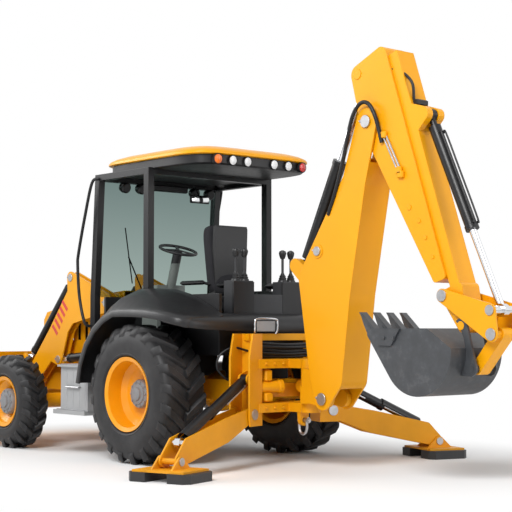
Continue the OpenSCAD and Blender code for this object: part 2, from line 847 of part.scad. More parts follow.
module slider() {
    top = dipper_top;
    end = dipper_len + 60;
    lug_in = bucket_ram[4] / 2 + side_gap;
    front = slide_w + slider_gap;
    color(paint)
        difference() {
            union() {
                xz(-slider_y, slider_y) {
                    polygon([dip(top, front), dip(end + 20, front), dip(end + 20, front + slider_d),
                        dip(top, front + slider_d)]);
                    wrapped([boss(dip(end + 45, front + slider_d - 20), 40), boss(bucket_pivot, 55),
                        boss(bucket_lever_pin, 50)]);
                }
                both_sides()
                    xz(lug_in, slider_y)
                        wrapped([boss(dip(60, front + 60), 30), boss(bucket_ram_base, 60),
                            boss(dip(270, front + 60), 30)]);
                pin(bucket_ram_base, backhoe_pin_r, -lug_in - 5, lug_in + 5);
                pin(bucket_lever_pin, backhoe_pin_r, -lever_in - lever_t - pin_head,
                    lever_in + lever_t + pin_head);
                pin(bucket_pivot, backhoe_pin_r, -bucket_ear_in - bucket_ear_t - pin_head,
                    bucket_ear_in + bucket_ear_t + pin_head);
            }
            xz(-rail_stem - slider_gap, rail_stem + slider_gap)
                polygon([dip(top - 1, front - 50), dip(dipper_len + 20, front - 50),
                    dip(dipper_len + 20, slide_w + rail_reach), dip(top - 1, slide_w + rail_reach)]);
            xz(-rail_head - slider_gap, rail_head + slider_gap)
                polygon([dip(top - 1, slide_w + rail_reach - 24 - slider_gap),
                    dip(dipper_len + 20, slide_w + rail_reach - 24 - slider_gap),
                    dip(dipper_len + 20, slide_w + rail_reach + slider_gap),
                    dip(top - 1, slide_w + rail_reach + slider_gap)]);
        }
}

module bucket_barrel() {
    color(black) along(bucket_ram_base, bucket_ram_end, 0) ram_barrel(bucket_ram);
}

module bucket_rod() {
    color(steel)
        along(bucket_ram_end, bucket_ram_base, 0) ram_rod(bucket_ram, bucket_rod_len, lever_in - side_gap);
}

// Bucket lever: two plates outside the bucket's ears, joined by a cross tube
lever_tube = bucket_lever_pin + [-298, -156];
lever_tube_r = 26;

module bucket_lever() {
    color(paint) {
        difference() {
            pair_xz(0, lever_in, lever_in + lever_t)
                wrapped([boss(bucket_lever_pin, 54), boss(bucket_ram_end, lever_boss_r - 10),
                    boss(bucket_lever_end, lever_boss_r)]);
            pin(bucket_lever_pin, backhoe_pin_r + pin_gap, -lever_in - lever_t - 1, lever_in + lever_t + 1);
        }
        both_sides()
            for (p = [bucket_ram_end, bucket_lever_end])
                pin(p, backhoe_pin_r, lever_in + lever_t - 1, lever_in + lever_t + pin_head);
        pin(lever_tube, lever_tube_r, -lever_in - 1, lever_in + 1);
    }
}

// Link from the bucket to the lever, with the pin of its lever end
link_y = 62;

module bucket_link() {
    color(paint)
        difference() {
            union() {
                xz(-link_y, link_y) wrapped([boss(bucket_lever_end, 50), boss(bucket_link_end, 46)]);
                pin(bucket_lever_end, backhoe_pin_r, -lever_in + side_gap, lever_in - side_gap);
            }
            pin(bucket_link_end, backhoe_pin_r + pin_gap, -link_y - 1, link_y + 1);
        }
}

// Digging bucket, curled in with its mouth up
bowl = bucket_pivot + [300, -195];
bowl_r = 350;
mouth_z = bucket_pivot[1] - 20;
bucket_crest = bucket_pivot[0] + 190;
bucket_brow = bucket_pivot + [-280, -315];
bucket_lip = bucket_pivot + [790, -65];
bucket_end = bucket_lip[0] + 230;
bucket_under = bowl[1] - bowl_r - 270;

module bucket_outline(inset) {
    intersection() {
        wrapped([boss(bowl, bowl_r - inset), [bucket_lip[0], bucket_lip[1], 34 - min(inset, 30)]]);
        polygon([[bucket_brow[0], bucket_under], [bucket_end, bucket_under], [bucket_end, mouth_z],
            [bucket_crest, mouth_z], [bucket_crest, mouth_z - 1.18 * inset],
            [bucket_brow[0], bucket_brow[1] - 1.18 * inset]]);
    }
}

module bucket() {
    half = bucket_w / 2;
    pitch = (bucket_w - 130) / (bucket_teeth - 1);
    color(grey)
        difference() {
            union() {
                difference() {
                    xz(-half, half) bucket_outline(0);
                    xz(-half + bucket_t, half - bucket_t) {
                        bucket_outline(bucket_t);
                        polygon([[bucket_crest + bucket_t, mouth_z - 35], bucket_lip + [50, -10],
                            [bucket_end, mouth_z + 105], [bucket_crest + bucket_t, mouth_z + 105]]);
                    }
                }
                pair_xz(0, bucket_ear_in, bucket_ear_in + bucket_ear_t)
                    difference() {
                        wrapped([boss(bucket_pivot, 58), boss(bucket_link_end, 56),
                            boss(bucket_pivot + [120, -315], 60), boss(bucket_pivot + [140, -85], 40)]);
                        spot(bowl) circle(bowl_r - bucket_t / 2);
                    }
                pin(bucket_link_end, backhoe_pin_r, -bucket_ear_in - bucket_ear_t - pin_head,
                    bucket_ear_in + bucket_ear_t + pin_head);
                for (i = [0 : bucket_teeth - 1])
                    xz(-half + 65 + i * pitch - 32, -half + 65 + i * pitch + 32)
                        spot(bucket_lip)
                            polygon([[-100, -20], [0, -40], [40, 10], [155, 175], [130, 175], [-20, 40]]);
            }
            pin(bucket_pivot, backhoe_pin_r + pin_gap, -half - 1, half + 1);
        }
}

// Loader arms: two plates each, joined by webs and by the torque tube
arm_in = arm_w / 2 - arm_t;
arm_elbow = [wheelbase - 320, 1560];
arm_knee = [wheelbase + 20, 1125];
arm_belly = [wheelbase + 80, 960];
arm_heel = [wheelbase - 310, 1340];

// Layers beside an arm: shovel ears, then the levers, then the tilt links
shovel_ear_in = arm_w / 2 + side_gap;
shovel_ear_t = 16;
tilt_lever_in = shovel_ear_in + shovel_ear_t + side_gap;
tilt_lever_t = 12;
tilt_link_in = tilt_lever_in + tilt_lever_t + side_gap;
tilt_link_t = 12;

module arm_outline() {
    root = boss(loader_pivot, 95);
    heel = boss(arm_heel, 100);
    elbow = boss(arm_elbow, 60);
    crown = boss(tilt_base, 62);
    belly = boss(arm_belly, 100);
    knee = boss(arm_knee, 88);
    tip = boss(shovel_pivot, 82);
    lift = boss(lift_end, 60);
    polygon(wrap([root, heel, elbow, crown]));
    polygon(wrap([heel, belly, knee, elbow]));
    polygon(wrap([belly, tip, knee]));
    polygon(wrap([lift, boss(arm_belly, 90), boss(arm_heel + [100, -80], 90)]));
    for (c = [root, heel, elbow, crown, belly, knee, tip, lift])
        spot(c) circle(c[2]);
}

module loader_arms() {
    color(paint) {
        both_sides() {
            difference() {
                pair_xz(arm_y, arm_in, arm_w / 2) arm_outline();
                pin(loader_pivot, loader_pin_r + pin_gap, 0, arm_y + arm_w);
            }
            for (p = [loader_pivot + [200, 50], arm_heel + [-120, 120], arm_heel + [100, -10],
                arm_belly + [110, -80]])
                pin(p, 45, arm_y - arm_in - 1, arm_y + arm_in + 1);
            pin(tilt_base, loader_pin_r, arm_y - arm_in - 1, arm_y + arm_in + 1);
            pin(lever_pivot, loader_pin_r, arm_y - tilt_lever_in - tilt_lever_t - pin_head,
                arm_y + tilt_lever_in + tilt_lever_t + pin_head);
            pin(shovel_pivot, loader_pin_r, arm_y - shovel_ear_in - shovel_ear_t - pin_head,
                arm_y + shovel_ear_in + shovel_ear_t + pin_head);
        }
        pin(torque_tube, 42, -arm_y, arm_y);
    }
}

module lift_barrels() {
    color(black) both_sides() along(lift_base, lift_end, arm_y) ram_barrel(lift_ram);
}

module lift_rods() {
    color(steel)
        both_sides()
            along(lift_end, lift_base, arm_y) ram_rod(lift_ram, lift_rod_len, lift_ram[4] / 2 + neck_step);
}

module tilt_barrels() {
    color(black) both_sides() along(tilt_base, ram_pin, arm_y) ram_barrel(tilt_ram);
}

module tilt_rods() {
    color(steel)
        both_sides()
            along(ram_pin, tilt_base, arm_y) ram_rod(tilt_ram, tilt_rod_len, tilt_lever_in - side_gap);
}

// Levers beside the arms, joined by the link's pin
module tilt_levers() {
    pin_end = tilt_link_in + tilt_link_t + pin_head;
    color(paint)
        both_sides()
            difference() {
                union() {
                    pair_xz(arm_y, tilt_lever_in, tilt_lever_in + tilt_lever_t)
                        wrapped([boss(lever_pivot, 50), boss(ram_pin, 46), boss(link_pin, 46)]);
                    pair_xz(arm_y, tilt_lever_in, pin_end) spot(link_pin) circle(loader_pin_r);
                    pair_xz(arm_y, tilt_lever_in, tilt_lever_in + tilt_lever_t + pin_head)
                        spot(ram_pin) circle(loader_pin_r);
                }
                pin(lever_pivot, loader_pin_r + pin_gap, 0, arm_y + 200);
            }
}

module tilt_links() {
    color(paint)
        both_sides()
            difference() {
                pair_xz(arm_y, tilt_link_in, tilt_link_in + tilt_link_t)
                    wrapped([boss(link_pin, 42), boss(shovel_top_pin, 42)]);
                pin(link_pin, loader_pin_r + pin_gap, 0, arm_y + 200);
                pin(shovel_top_pin, loader_pin_r + pin_gap, 0, arm_y + 200);
            }
}

// Loading shovel, drawn level from its hinge and then rolled back
shovel_bowl = [460, 70];
shovel_bowl_r = 360;
shovel_edge = [330, 560];
shovel_edge_r = 30;

module shovel_outline(inset) {
    wrapped([boss(shovel_bowl, shovel_bowl_r - inset), boss(shovel_lip, shovel_lip_r - min(inset, shovel_lip_r - 2)),
        boss(shovel_edge, shovel_edge_r - inset)]);
}

// Everything that lies in front of the shovel's mouth
module shovel_mouth(proud) {
    run = shovel_edge - shovel_lip;
    out = [run[1], -run[0]] / norm(run);
    low = shovel_lip - run + proud * out;
    high = shovel_edge + run + proud * out;
    polygon([low, low + shovel_bowl_r * out, high + shovel_bowl_r * out, high]);
}

module shovel() {
    half = shovel_w / 2;
    color(paint)
        difference() {
            translate([rear_axle_x + shovel_pivot[0], 0, shovel_pivot[1]])
                rotate([0, -shovel_crowd, 0])
                    rotate([90, 0, 0]) {
                        difference() {
                            linear_extrude(shovel_w, center = true)
                                difference() {
                                    shovel_outline(0);
                                    shovel_mouth(shovel_lip_r - 1);
                                }
                            linear_extrude(shovel_w - 2 * shovel_t, center = true) {
                                shovel_outline(shovel_t);
                                shovel_mouth(0);
                            }
                        }
                        for (side = [-1, 1], cheek = [-1, 1])
                            translate([0, 0, side * arm_y + cheek * (shovel_ear_in + shovel_ear_t / 2)])
                                linear_extrude(shovel_ear_t, center = true)
                                    difference() {
                                        wrapped([[0, 0, 62], [180, -60, 60], [250, 420, 60],
                                            boss(turned(shovel_top_pin - shovel_pivot, -shovel_crowd), 50)]);
                                        shovel_outline(shovel_t / 2);
                                    }
                    }
            both_sides() pin(shovel_pivot, loader_pin_r + pin_gap, 0, half);
        }
    color(steel)
        both_sides()
            pair_xz(arm_y, shovel_ear_in + shovel_ear_t / 2, tilt_link_in + tilt_link_t + pin_head)
                spot(shovel_top_pin) circle(loader_pin_r);
}

// Stabilisers, drawn with the hinge at the origin and y pointing out along the leg
leg_down = asin(leg_drop / leg_len);

module leg_place(side) {
    mirror([0, side < 0 ? 1 : 0, 0])
        translate([rear_axle_x + leg_hinge[0], leg_hinge[1], leg_hinge[2]])
            rotate([0, 0, leg_splay]) children();
}

// A shape drawn in the plane of the leg, given thickness across it
module leg_plane(x0, x1) {
    translate([x0, 0, 0]) rotate([90, 0, 90]) linear_extrude(x1 - x0) children();
}

// Stands the z axis along the line from p to q in the plane of the leg
module leg_along(p, q) {
    translate([0, p[0], p[1]])
        rotate([-atan2(q[0] - p[0], q[1] - p[1]), 0, 0])
            rotate([0, 0, 90]) children();
}

// A point along the leg and above it, in the plane of the leg
function leg_point(p) = [p[0] * cos(leg_down) + p[1] * sin(leg_down),
    -p[0] * sin(leg_down) + p[1] * cos(leg_down)];

module leg(side) {
    color(paint)
        leg_place(side)
            difference() {
                union() {
                    for (x0 = [-leg_y, leg_y - leg_t])
                        leg_plane(x0, x0 + leg_t)
                            wrapped([[0, 0, 60], boss(leg_point([420, -30]), 70),
                                boss(leg_point([leg_len, 0]), 50), boss(leg_point(leg_ram_end), 45),
                                boss(leg_point([420, 45]), 60)]);
                    leg_plane(-leg_y + leg_t / 2, leg_y - leg_t / 2)
                        polygon([leg_point([150, -64]), leg_point([900, -52]), leg_point([900, -32]),
                            leg_point([150, -44])]);
                }
                leg_plane(-leg_y - 1, leg_y + 1) circle(leg_pin_r + pin_gap);
                leg_plane(-leg_y - 1, leg_y + 1) spot(leg_point([leg_len, 0])) circle(leg_pin_r + pin_gap);
            }
}

module leg_l() {
    leg(1);
}

module leg_r() {
    leg(-1);
}

module leg_barrel(side) {
    color(black) leg_place(side) leg_along(leg_ram_base, leg_point(leg_ram_end)) ram_barrel(leg_ram);
}

module leg_rod(side) {
    end = leg_point(leg_ram_end);
    color(steel)
        leg_place(side)
            leg_along(end, leg_ram_base) ram_rod(leg_ram, leg_rod_len, leg_y - leg_t - side_gap);
}

module leg_barrel_l() {
    leg_barrel(1);
}

module leg_barrel_r() {
    leg_barrel(-1);
}

module leg_rod_l() {
    leg_rod(1);
}

module leg_rod_r() {
    leg_rod(-1);
}

// Foot: two rubber pads under a flange, with ears on both sides of the leg's end
module foot(side) {
    at = leg_point([leg_len, 0]);
    ear_in = leg_y + side_gap;
    ear_t = 16;
    flange_t = 18;
    pad_in = ear_in + ear_t;
    chamfer = 50;
    ground = -leg_hinge[2];
    color(rubber)
        leg_place(side) {
            translate([0, at[0], ground])
                for (turn = [0, 180])
                    rotate([0, 0, turn])
                        linear_extrude(pad_h)
                            polygon([[pad_in, -pad_len / 2], [pad_in + pad_w - chamfer, -pad_len / 2],
                                [pad_in + pad_w, -pad_len / 2 + chamfer], [pad_in + pad_w, pad_len / 2 - chamfer],
                                [pad_in + pad_w - chamfer, pad_len / 2], [pad_in, pad_len / 2]]);
            translate([-pad_in - pad_w + chamfer, at[0] - pad_len / 2 + 20, ground + pad_h])
                cube([2 * (pad_in + pad_w - chamfer), pad_len - 40, flange_t]);
            for (x0 = [-ear_in - ear_t, ear_in])
                leg_plane(x0, x0 + ear_t)
                    wrapped([boss(at, 45), [at[0] - 120, ground + pad_h + 10, 10],
                        [at[0] + 120, ground + pad_h + 10, 10]]);
            leg_plane(-ear_in - 2, ear_in + 2) spot(at) circle(leg_pin_r);
        }
}

module foot_l() {
    foot(1);
}

module foot_r() {
    foot(-1);
}

frame();
engine();
hood();
rear_axle();
front_axle();
platform();
fenders();
canopy();
roof();
lamps();
windscreen();
dash();
seat();
consoles();
side_boxes();
rear_frame();
tyre_rl();
tyre_rr();
tyre_fl();
tyre_fr();
rim_rl();
rim_rr();
rim_fl();
rim_fr();
knuckle_l();
knuckle_r();
loader_arms();
shovel();
lift_barrels();
lift_rods();
tilt_barrels();
tilt_rods();
tilt_levers();
tilt_links();
kingpost();
boom();
boom_barrel();
boom_rod();
dipper();
dipper_barrel();
dipper_rod();
slider();
bucket_barrel();
bucket_rod();
bucket_lever();
bucket_link();
bucket();
leg_l();
leg_r();
leg_barrel_l();
leg_barrel_r();
leg_rod_l();
leg_rod_r();
foot_l();
foot_r();
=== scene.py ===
"""Looks of a backhoe loader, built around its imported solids.

Places are millimetres forward, left and up from the ground under the rear axle, as in the part's source.
"""
import math

import bpy
from mathutils import Matrix, Vector


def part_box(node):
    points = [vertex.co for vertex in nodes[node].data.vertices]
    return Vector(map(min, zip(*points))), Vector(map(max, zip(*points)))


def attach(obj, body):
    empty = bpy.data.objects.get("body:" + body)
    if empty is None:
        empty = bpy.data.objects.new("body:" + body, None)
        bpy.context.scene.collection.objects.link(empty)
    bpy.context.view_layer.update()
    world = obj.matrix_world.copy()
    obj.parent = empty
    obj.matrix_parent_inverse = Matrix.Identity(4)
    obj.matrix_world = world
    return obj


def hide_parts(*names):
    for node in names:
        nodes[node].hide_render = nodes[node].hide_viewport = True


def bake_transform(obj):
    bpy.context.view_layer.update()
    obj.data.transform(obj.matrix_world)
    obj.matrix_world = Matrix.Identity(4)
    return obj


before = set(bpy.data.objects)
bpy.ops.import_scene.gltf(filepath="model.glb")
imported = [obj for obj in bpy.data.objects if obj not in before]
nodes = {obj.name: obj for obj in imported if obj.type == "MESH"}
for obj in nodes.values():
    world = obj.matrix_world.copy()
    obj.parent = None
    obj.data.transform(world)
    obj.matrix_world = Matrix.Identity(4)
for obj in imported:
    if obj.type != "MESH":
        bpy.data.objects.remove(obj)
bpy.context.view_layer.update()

# The frame's x of the rear axle, from the rear tyre
low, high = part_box("tyre_rl")
REAR_X = (low.x + high.x) / 2

AHEAD, BACK, LEFT, UP = (1, 0, 0), (-1, 0, 0), (0, 1, 0), (0, 0, 1)


def at(p):
    """A point in millimetres from the rear axle, in the frame's metres."""
    return Vector((p[0] / 1000 + REAR_X, p[1] / 1000, p[2] / 1000))


def show(name, data):
    """A new object in the scene."""
    obj = bpy.data.objects.new(name, data)
    bpy.context.scene.collection.objects.link(obj)
    return obj


# Materials

def shader(name):
    """A new material, with its node tree and its main shader."""
    mat = bpy.data.materials.new(name)
    mat.use_nodes = True
    tree = mat.node_tree
    return mat, tree, tree.nodes["Principled BSDF"]


def link(tree, a, out, b, into):
    """Joins an output of node a to an input of node b."""
    tree.links.new(a.outputs[out], b.inputs[into])


def noise(tree, scale, detail=3.0, roughness=0.55):
    """A noise in the object's own space."""
    where = tree.nodes.new("ShaderNodeTexCoord")
    tex = tree.nodes.new("ShaderNodeTexNoise")
    tex.inputs["Scale"].default_value = scale
    tex.inputs["Detail"].default_value = detail
    tex.inputs["Roughness"].default_value = roughness
    link(tree, where, "Object", tex, "Vector")
    return tex


def height(tree):
    """A node whose Z is the height in the object's own space."""
    where = tree.nodes.new("ShaderNodeTexCoord")
    parts = tree.nodes.new("ShaderNodeSeparateXYZ")
    link(tree, where, "Object", parts, "Vector")
    return parts


def ramp(tree, source, stops):
    """Colours picked by a texture's value, from stops of place and colour."""
    node = tree.nodes.new("ShaderNodeValToRGB")
    link(tree, source, "Fac", node, "Fac")
    ends = node.color_ramp.elements
    while len(ends) < len(stops):
        ends.new(0.5)
    for element, (place, colour) in zip(ends, stops):
        element.position = place
        element.color = (*colour, 1)
    return node


def shade(colour, factor):
    """A colour made lighter or darker."""
    return tuple(min(1.0, c * factor) for c in colour)


def add_grain(tree, bsdf, scale, detail, strength, depth=0.002, edge=0.0):
    """A fine grain in the normal; with an edge radius, sharp edges look softened as well."""
    relief = tree.nodes.new("ShaderNodeBump")
    relief.inputs["Strength"].default_value = strength
    relief.inputs["Distance"].default_value = depth
    link(tree, noise(tree, scale, detail), "Fac", relief, "Height")
    if edge:
        soft = tree.nodes.new("ShaderNodeBevel")
        soft.samples = 6
        soft.inputs["Radius"].default_value = edge
        link(tree, soft, "Normal", relief, "Normal")
    link(tree, relief, "Normal", bsdf, "Normal")


def surface(name, colour, rough, metallic=0.0, coat=0.0, tone=0.08, patch=3.0, grain=400.0, bump=0.02,
            rough_swing=0.08, shine=0.5, edge=0.0):
    """A finish whose colour and gloss wander a little, with a fine grain and softened edges in its normal."""
    mat, tree, bsdf = shader(name)
    bsdf.inputs["Specular IOR Level"].default_value = shine
    bsdf.inputs["Metallic"].default_value = metallic
    bsdf.inputs["Coat Weight"].default_value = coat
    bsdf.inputs["Coat Roughness"].default_value = 0.12
    patches = noise(tree, patch)
    colours = ramp(tree, patches, [(0.3, shade(colour, 1 - tone)), (0.7, shade(colour, 1 + tone))])
    link(tree, colours, "Color", bsdf, "Base Color")
    spread = tree.nodes.new("ShaderNodeMapRange")
    spread.inputs["To Min"].default_value = max(0.02, rough - rough_swing)
    spread.inputs["To Max"].default_value = min(1.0, rough + rough_swing)
    link(tree, noise(tree, patch * 6), "Fac", spread, "Value")
    link(tree, spread, "Result", bsdf, "Roughness")
    if bump:
        add_grain(tree, bsdf, grain, 2.0, bump, edge=edge)
    return mat


def worn(name, colour, bare, rough):
    """Paint that is rubbed to bare metal in patches."""
    mat, tree, bsdf = shader(name)
    patches = noise(tree, 9.0, 8.0, 0.7)
    colours = ramp(tree, patches, [(0.40, shade(colour, 0.8)), (0.56, colour), (0.72, bare)])
    link(tree, colours, "Color", bsdf, "Base Color")
    metal = ramp(tree, patches, [(0.60, (0, 0, 0)), (0.75, (0.7, 0.7, 0.7))])
    link(tree, metal, "Color", bsdf, "Metallic")
    bsdf.inputs["Roughness"].default_value = rough
    add_grain(tree, bsdf, 60.0, 6.0, 0.12, depth=0.003)
    return mat


def two_tone(name, split, below, above):
    """One colour under a height and another over it, both a little uneven."""
    mat, tree, bsdf = shader(name)
    over = tree.nodes.new("ShaderNodeMath")
    over.operation = "GREATER_THAN"
    over.inputs[1].default_value = split
    link(tree, height(tree), "Z", over, 0)
    mix = tree.nodes.new("ShaderNodeMix")
    mix.data_type = "RGBA"
    link(tree, over, "Value", mix, 0)
    patches = noise(tree, 6.0, 5.0)
    # Sockets 6 and 7 of the mix node are its two colours, and output 2 is the mixed one
    for socket, colour in ((6, below), (7, above)):
        tones = ramp(tree, patches, [(0.3, shade(colour, 0.86)), (0.7, shade(colour, 1.1))])
        link(tree, tones, "Color", mix, socket)
    link(tree, mix, 2, bsdf, "Base Color")
    bsdf.inputs["Roughness"].default_value = 0.5
    add_grain(tree, bsdf, 180.0, 3.0, 0.1)
    return mat


def glass(name, top, top_colour, foot, foot_colour):
    """Tinted glass that darkens towards its top edge and lets the lamps shine through."""
    mat, tree, bsdf = shader(name)
    bsdf.inputs["Transmission Weight"].default_value = 1.0
    bsdf.inputs["IOR"].default_value = 1.02
    rise = tree.nodes.new("ShaderNodeMapRange")
    rise.inputs["From Min"].default_value = foot
    rise.inputs["From Max"].default_value = top
    link(tree, height(tree), "Z", rise, "Value")
    film = tree.nodes.new("ShaderNodeValToRGB")
    film.color_ramp.elements[0].color = (*foot_colour, 1)
    film.color_ramp.elements[1].color = (*top_colour, 1)
    link(tree, rise, "Result", film, "Fac")
    link(tree, film, "Color", bsdf, "Base Color")
    bsdf.inputs["Roughness"].default_value = 0.02
    tint = tree.nodes.new("ShaderNodeBsdfTransparent")
    link(tree, film, "Color", tint, "Color")
    rays = tree.nodes.new("ShaderNodeLightPath")
    lit = tree.nodes.new("ShaderNodeMixShader")
    link(tree, rays, "Is Shadow Ray", lit, 0)
    link(tree, bsdf, "BSDF", lit, 1)
    link(tree, tint, "BSDF", lit, 2)
    link(tree, lit, "Shader", tree.nodes["Material Output"], "Surface")
    return mat


def lens(name, colour):
    """A ribbed lamp lens."""
    mat, tree, bsdf = shader(name)
    where = tree.nodes.new("ShaderNodeTexCoord")
    ribs = tree.nodes.new("ShaderNodeTexWave")
    ribs.bands_direction = "Y"
    ribs.inputs["Scale"].default_value = 60.0
    link(tree, where, "Object", ribs, "Vector")
    colours = ramp(tree, ribs, [(0.2, shade(colour, 0.82)), (0.8, colour)])
    link(tree, colours, "Color", bsdf, "Base Color")
    bsdf.inputs["Roughness"].default_value = 0.08
    bsdf.inputs["Coat Weight"].default_value = 0.8
    return mat


def tread_rubber(name, clean, dusty):
    """Tyre rubber: dark, dusty in patches, with a fine grain."""
    mat, tree, bsdf = shader(name)
    dust = ramp(tree, noise(tree, 5.0, 6.0, 0.65), [(0.35, clean), (0.75, dusty)])
    link(tree, dust, "Color", bsdf, "Base Color")
    bsdf.inputs["Roughness"].default_value = 0.5
    bsdf.inputs["Specular IOR Level"].default_value = 0.35
    add_grain(tree, bsdf, 220.0, 4.0, 0.15)
    return mat


def vector_step(tree, operation, source, out):
    """A step of vector maths on another node's output."""
    node = tree.nodes.new("ShaderNodeVectorMath")
    node.operation = operation
    link(tree, source, out, node, 0)
    return node


# The floor's shaded area: half its size, then where its fade starts and ends outside it, in metres
SHADED_HALF, FADE_FROM, FADE_TO = (2.6, 1.0, 0), 0.2, 2.4


def floor_finish(name, darker, lighter):
    """A pale floor that catches the shadow near the machine and fades to white further out."""
    mat, tree, bsdf = shader(name)
    bsdf.inputs["Roughness"].default_value = 0.75
    tones = ramp(tree, noise(tree, 0.5), [(0.3, darker), (0.7, lighter)])
    link(tree, tones, "Color", bsdf, "Base Color")
    where = tree.nodes.new("ShaderNodeTexCoord")
    size = vector_step(tree, "ABSOLUTE", where, "Object")
    past = vector_step(tree, "SUBTRACT", size, "Vector")
    past.inputs[1].default_value = SHADED_HALF
    outside = vector_step(tree, "MAXIMUM", past, "Vector")
    away = vector_step(tree, "LENGTH", outside, "Vector")
    fade = tree.nodes.new("ShaderNodeMapRange")
    fade.interpolation_type = "SMOOTHSTEP"
    fade.inputs["From Min"].default_value = FADE_FROM
    fade.inputs["From Max"].default_value = FADE_TO
    link(tree, away, "Value", fade, "Value")
    rays = tree.nodes.new("ShaderNodeLightPath")
    seen = tree.nodes.new("ShaderNodeMath")
    seen.operation = "MULTIPLY"
    link(tree, fade, "Result", seen, 0)
    link(tree, rays, "Is Camera Ray", seen, 1)
    white = tree.nodes.new("ShaderNodeEmission")
    mix = tree.nodes.new("ShaderNodeMixShader")
    link(tree, seen, "Value", mix, "Fac")
    link(tree, bsdf, "BSDF", mix, 1)
    link(tree, white, "Emission", mix, 2)
    link(tree, mix, "Shader", tree.nodes["Material Output"], "Surface")
    return mat


YELLOW = (0.85, 0.365, 0.002)
FRAME_YELLOW = shade(YELLOW, 0.92)
paint = surface("yellow_gloss", YELLOW, 0.34, coat=0.12, tone=0.035, patch=1.6, grain=90, bump=0.001,
                shine=0.3, edge=0.006)
frame_paint = surface("yellow_frame", FRAME_YELLOW, 0.42, coat=0.1, tone=0.07, patch=3.5, grain=180,
                      bump=0.03, shine=0.3, edge=0.005)
rim_paint = surface("yellow_rim", (0.84, 0.33, 0.003), 0.34, coat=0.2, tone=0.06, patch=4.0, bump=0.015,
                    shine=0.35, edge=0.004)
black_paint = surface("black_satin", (0.008, 0.008, 0.009), 0.34, tone=0.15, patch=4.0, bump=0.02,
                      shine=0.35, edge=0.005)
moulding = surface("black_moulding", (0.012, 0.012, 0.013), 0.38, tone=0.12, patch=3.0, grain=700, bump=0.09,
                   shine=0.4)
console = surface("console_plastic", (0.030, 0.031, 0.034), 0.45, tone=0.10, patch=6.0, grain=800, bump=0.10,
                  shine=0.4, edge=0.008)
box_grey = surface("box_paint", (0.34, 0.345, 0.35), 0.45, tone=0.06, patch=5.0, bump=0.03)
iron = surface("axle_casting", (0.03, 0.03, 0.032), 0.58, tone=0.2, patch=9.0, grain=90, bump=0.25)
hub_grey = surface("hub_paint", (0.21, 0.215, 0.225), 0.45, tone=0.10, patch=14.0, grain=120, bump=0.08)
chrome = surface("chrome_rod", (0.74, 0.75, 0.77), 0.13, metallic=1.0, tone=0.02, grain=500, bump=0.004,
                 rough_swing=0.04)
steel = surface("bare_steel", (0.46, 0.46, 0.47), 0.36, metallic=1.0, tone=0.12, patch=20.0, grain=300,
                bump=0.05)
hose_rubber = surface("hose_rubber", (0.009, 0.009, 0.010), 0.42, tone=0.2, patch=12.0, grain=600, bump=0.12,
                      shine=0.35)
cloth = surface("seat_cloth", (0.022, 0.022, 0.025), 0.85, tone=0.15, patch=8.0, grain=1400, bump=0.25,
                shine=0.25)
mirror_face = surface("mirror_face", (0.8, 0.82, 0.83), 0.04, metallic=1.0, tone=0.01, bump=0.0,
                      rough_swing=0.01)
stripe_red = surface("stripe_red", (0.62, 0.03, 0.015), 0.35, coat=0.3, tone=0.05)
bucket_steel = worn("bucket_worn", (0.052, 0.056, 0.062), (0.11, 0.112, 0.118), 0.40)
screen = glass("screen_glass", top=2.6, top_colour=(0.17, 0.23, 0.22), foot=1.5,
               foot_colour=(0.34, 0.42, 0.39))
dash_finish = two_tone("dash_finish", split=1.83, below=(0.20, 0.225, 0.21), above=(0.02, 0.02, 0.022))
foot_finish = two_tone("foot_finish", split=0.0755, below=(0.02, 0.02, 0.021), above=FRAME_YELLOW)
white_lens = lens("lamp_white", (0.86, 0.87, 0.88))
amber_lens = lens("lamp_amber", (0.95, 0.20, 0.01))
red_lens = lens("lamp_red", (0.62, 0.010, 0.012))
tyre_rubber = tread_rubber("tyre_rubber", clean=(0.012, 0.012, 0.013), dusty=(0.034, 0.033, 0.034))


# Mesh building, in millimetres from the rear axle

SHARP_ANGLE = math.radians(38)
TIP_R = 0.01


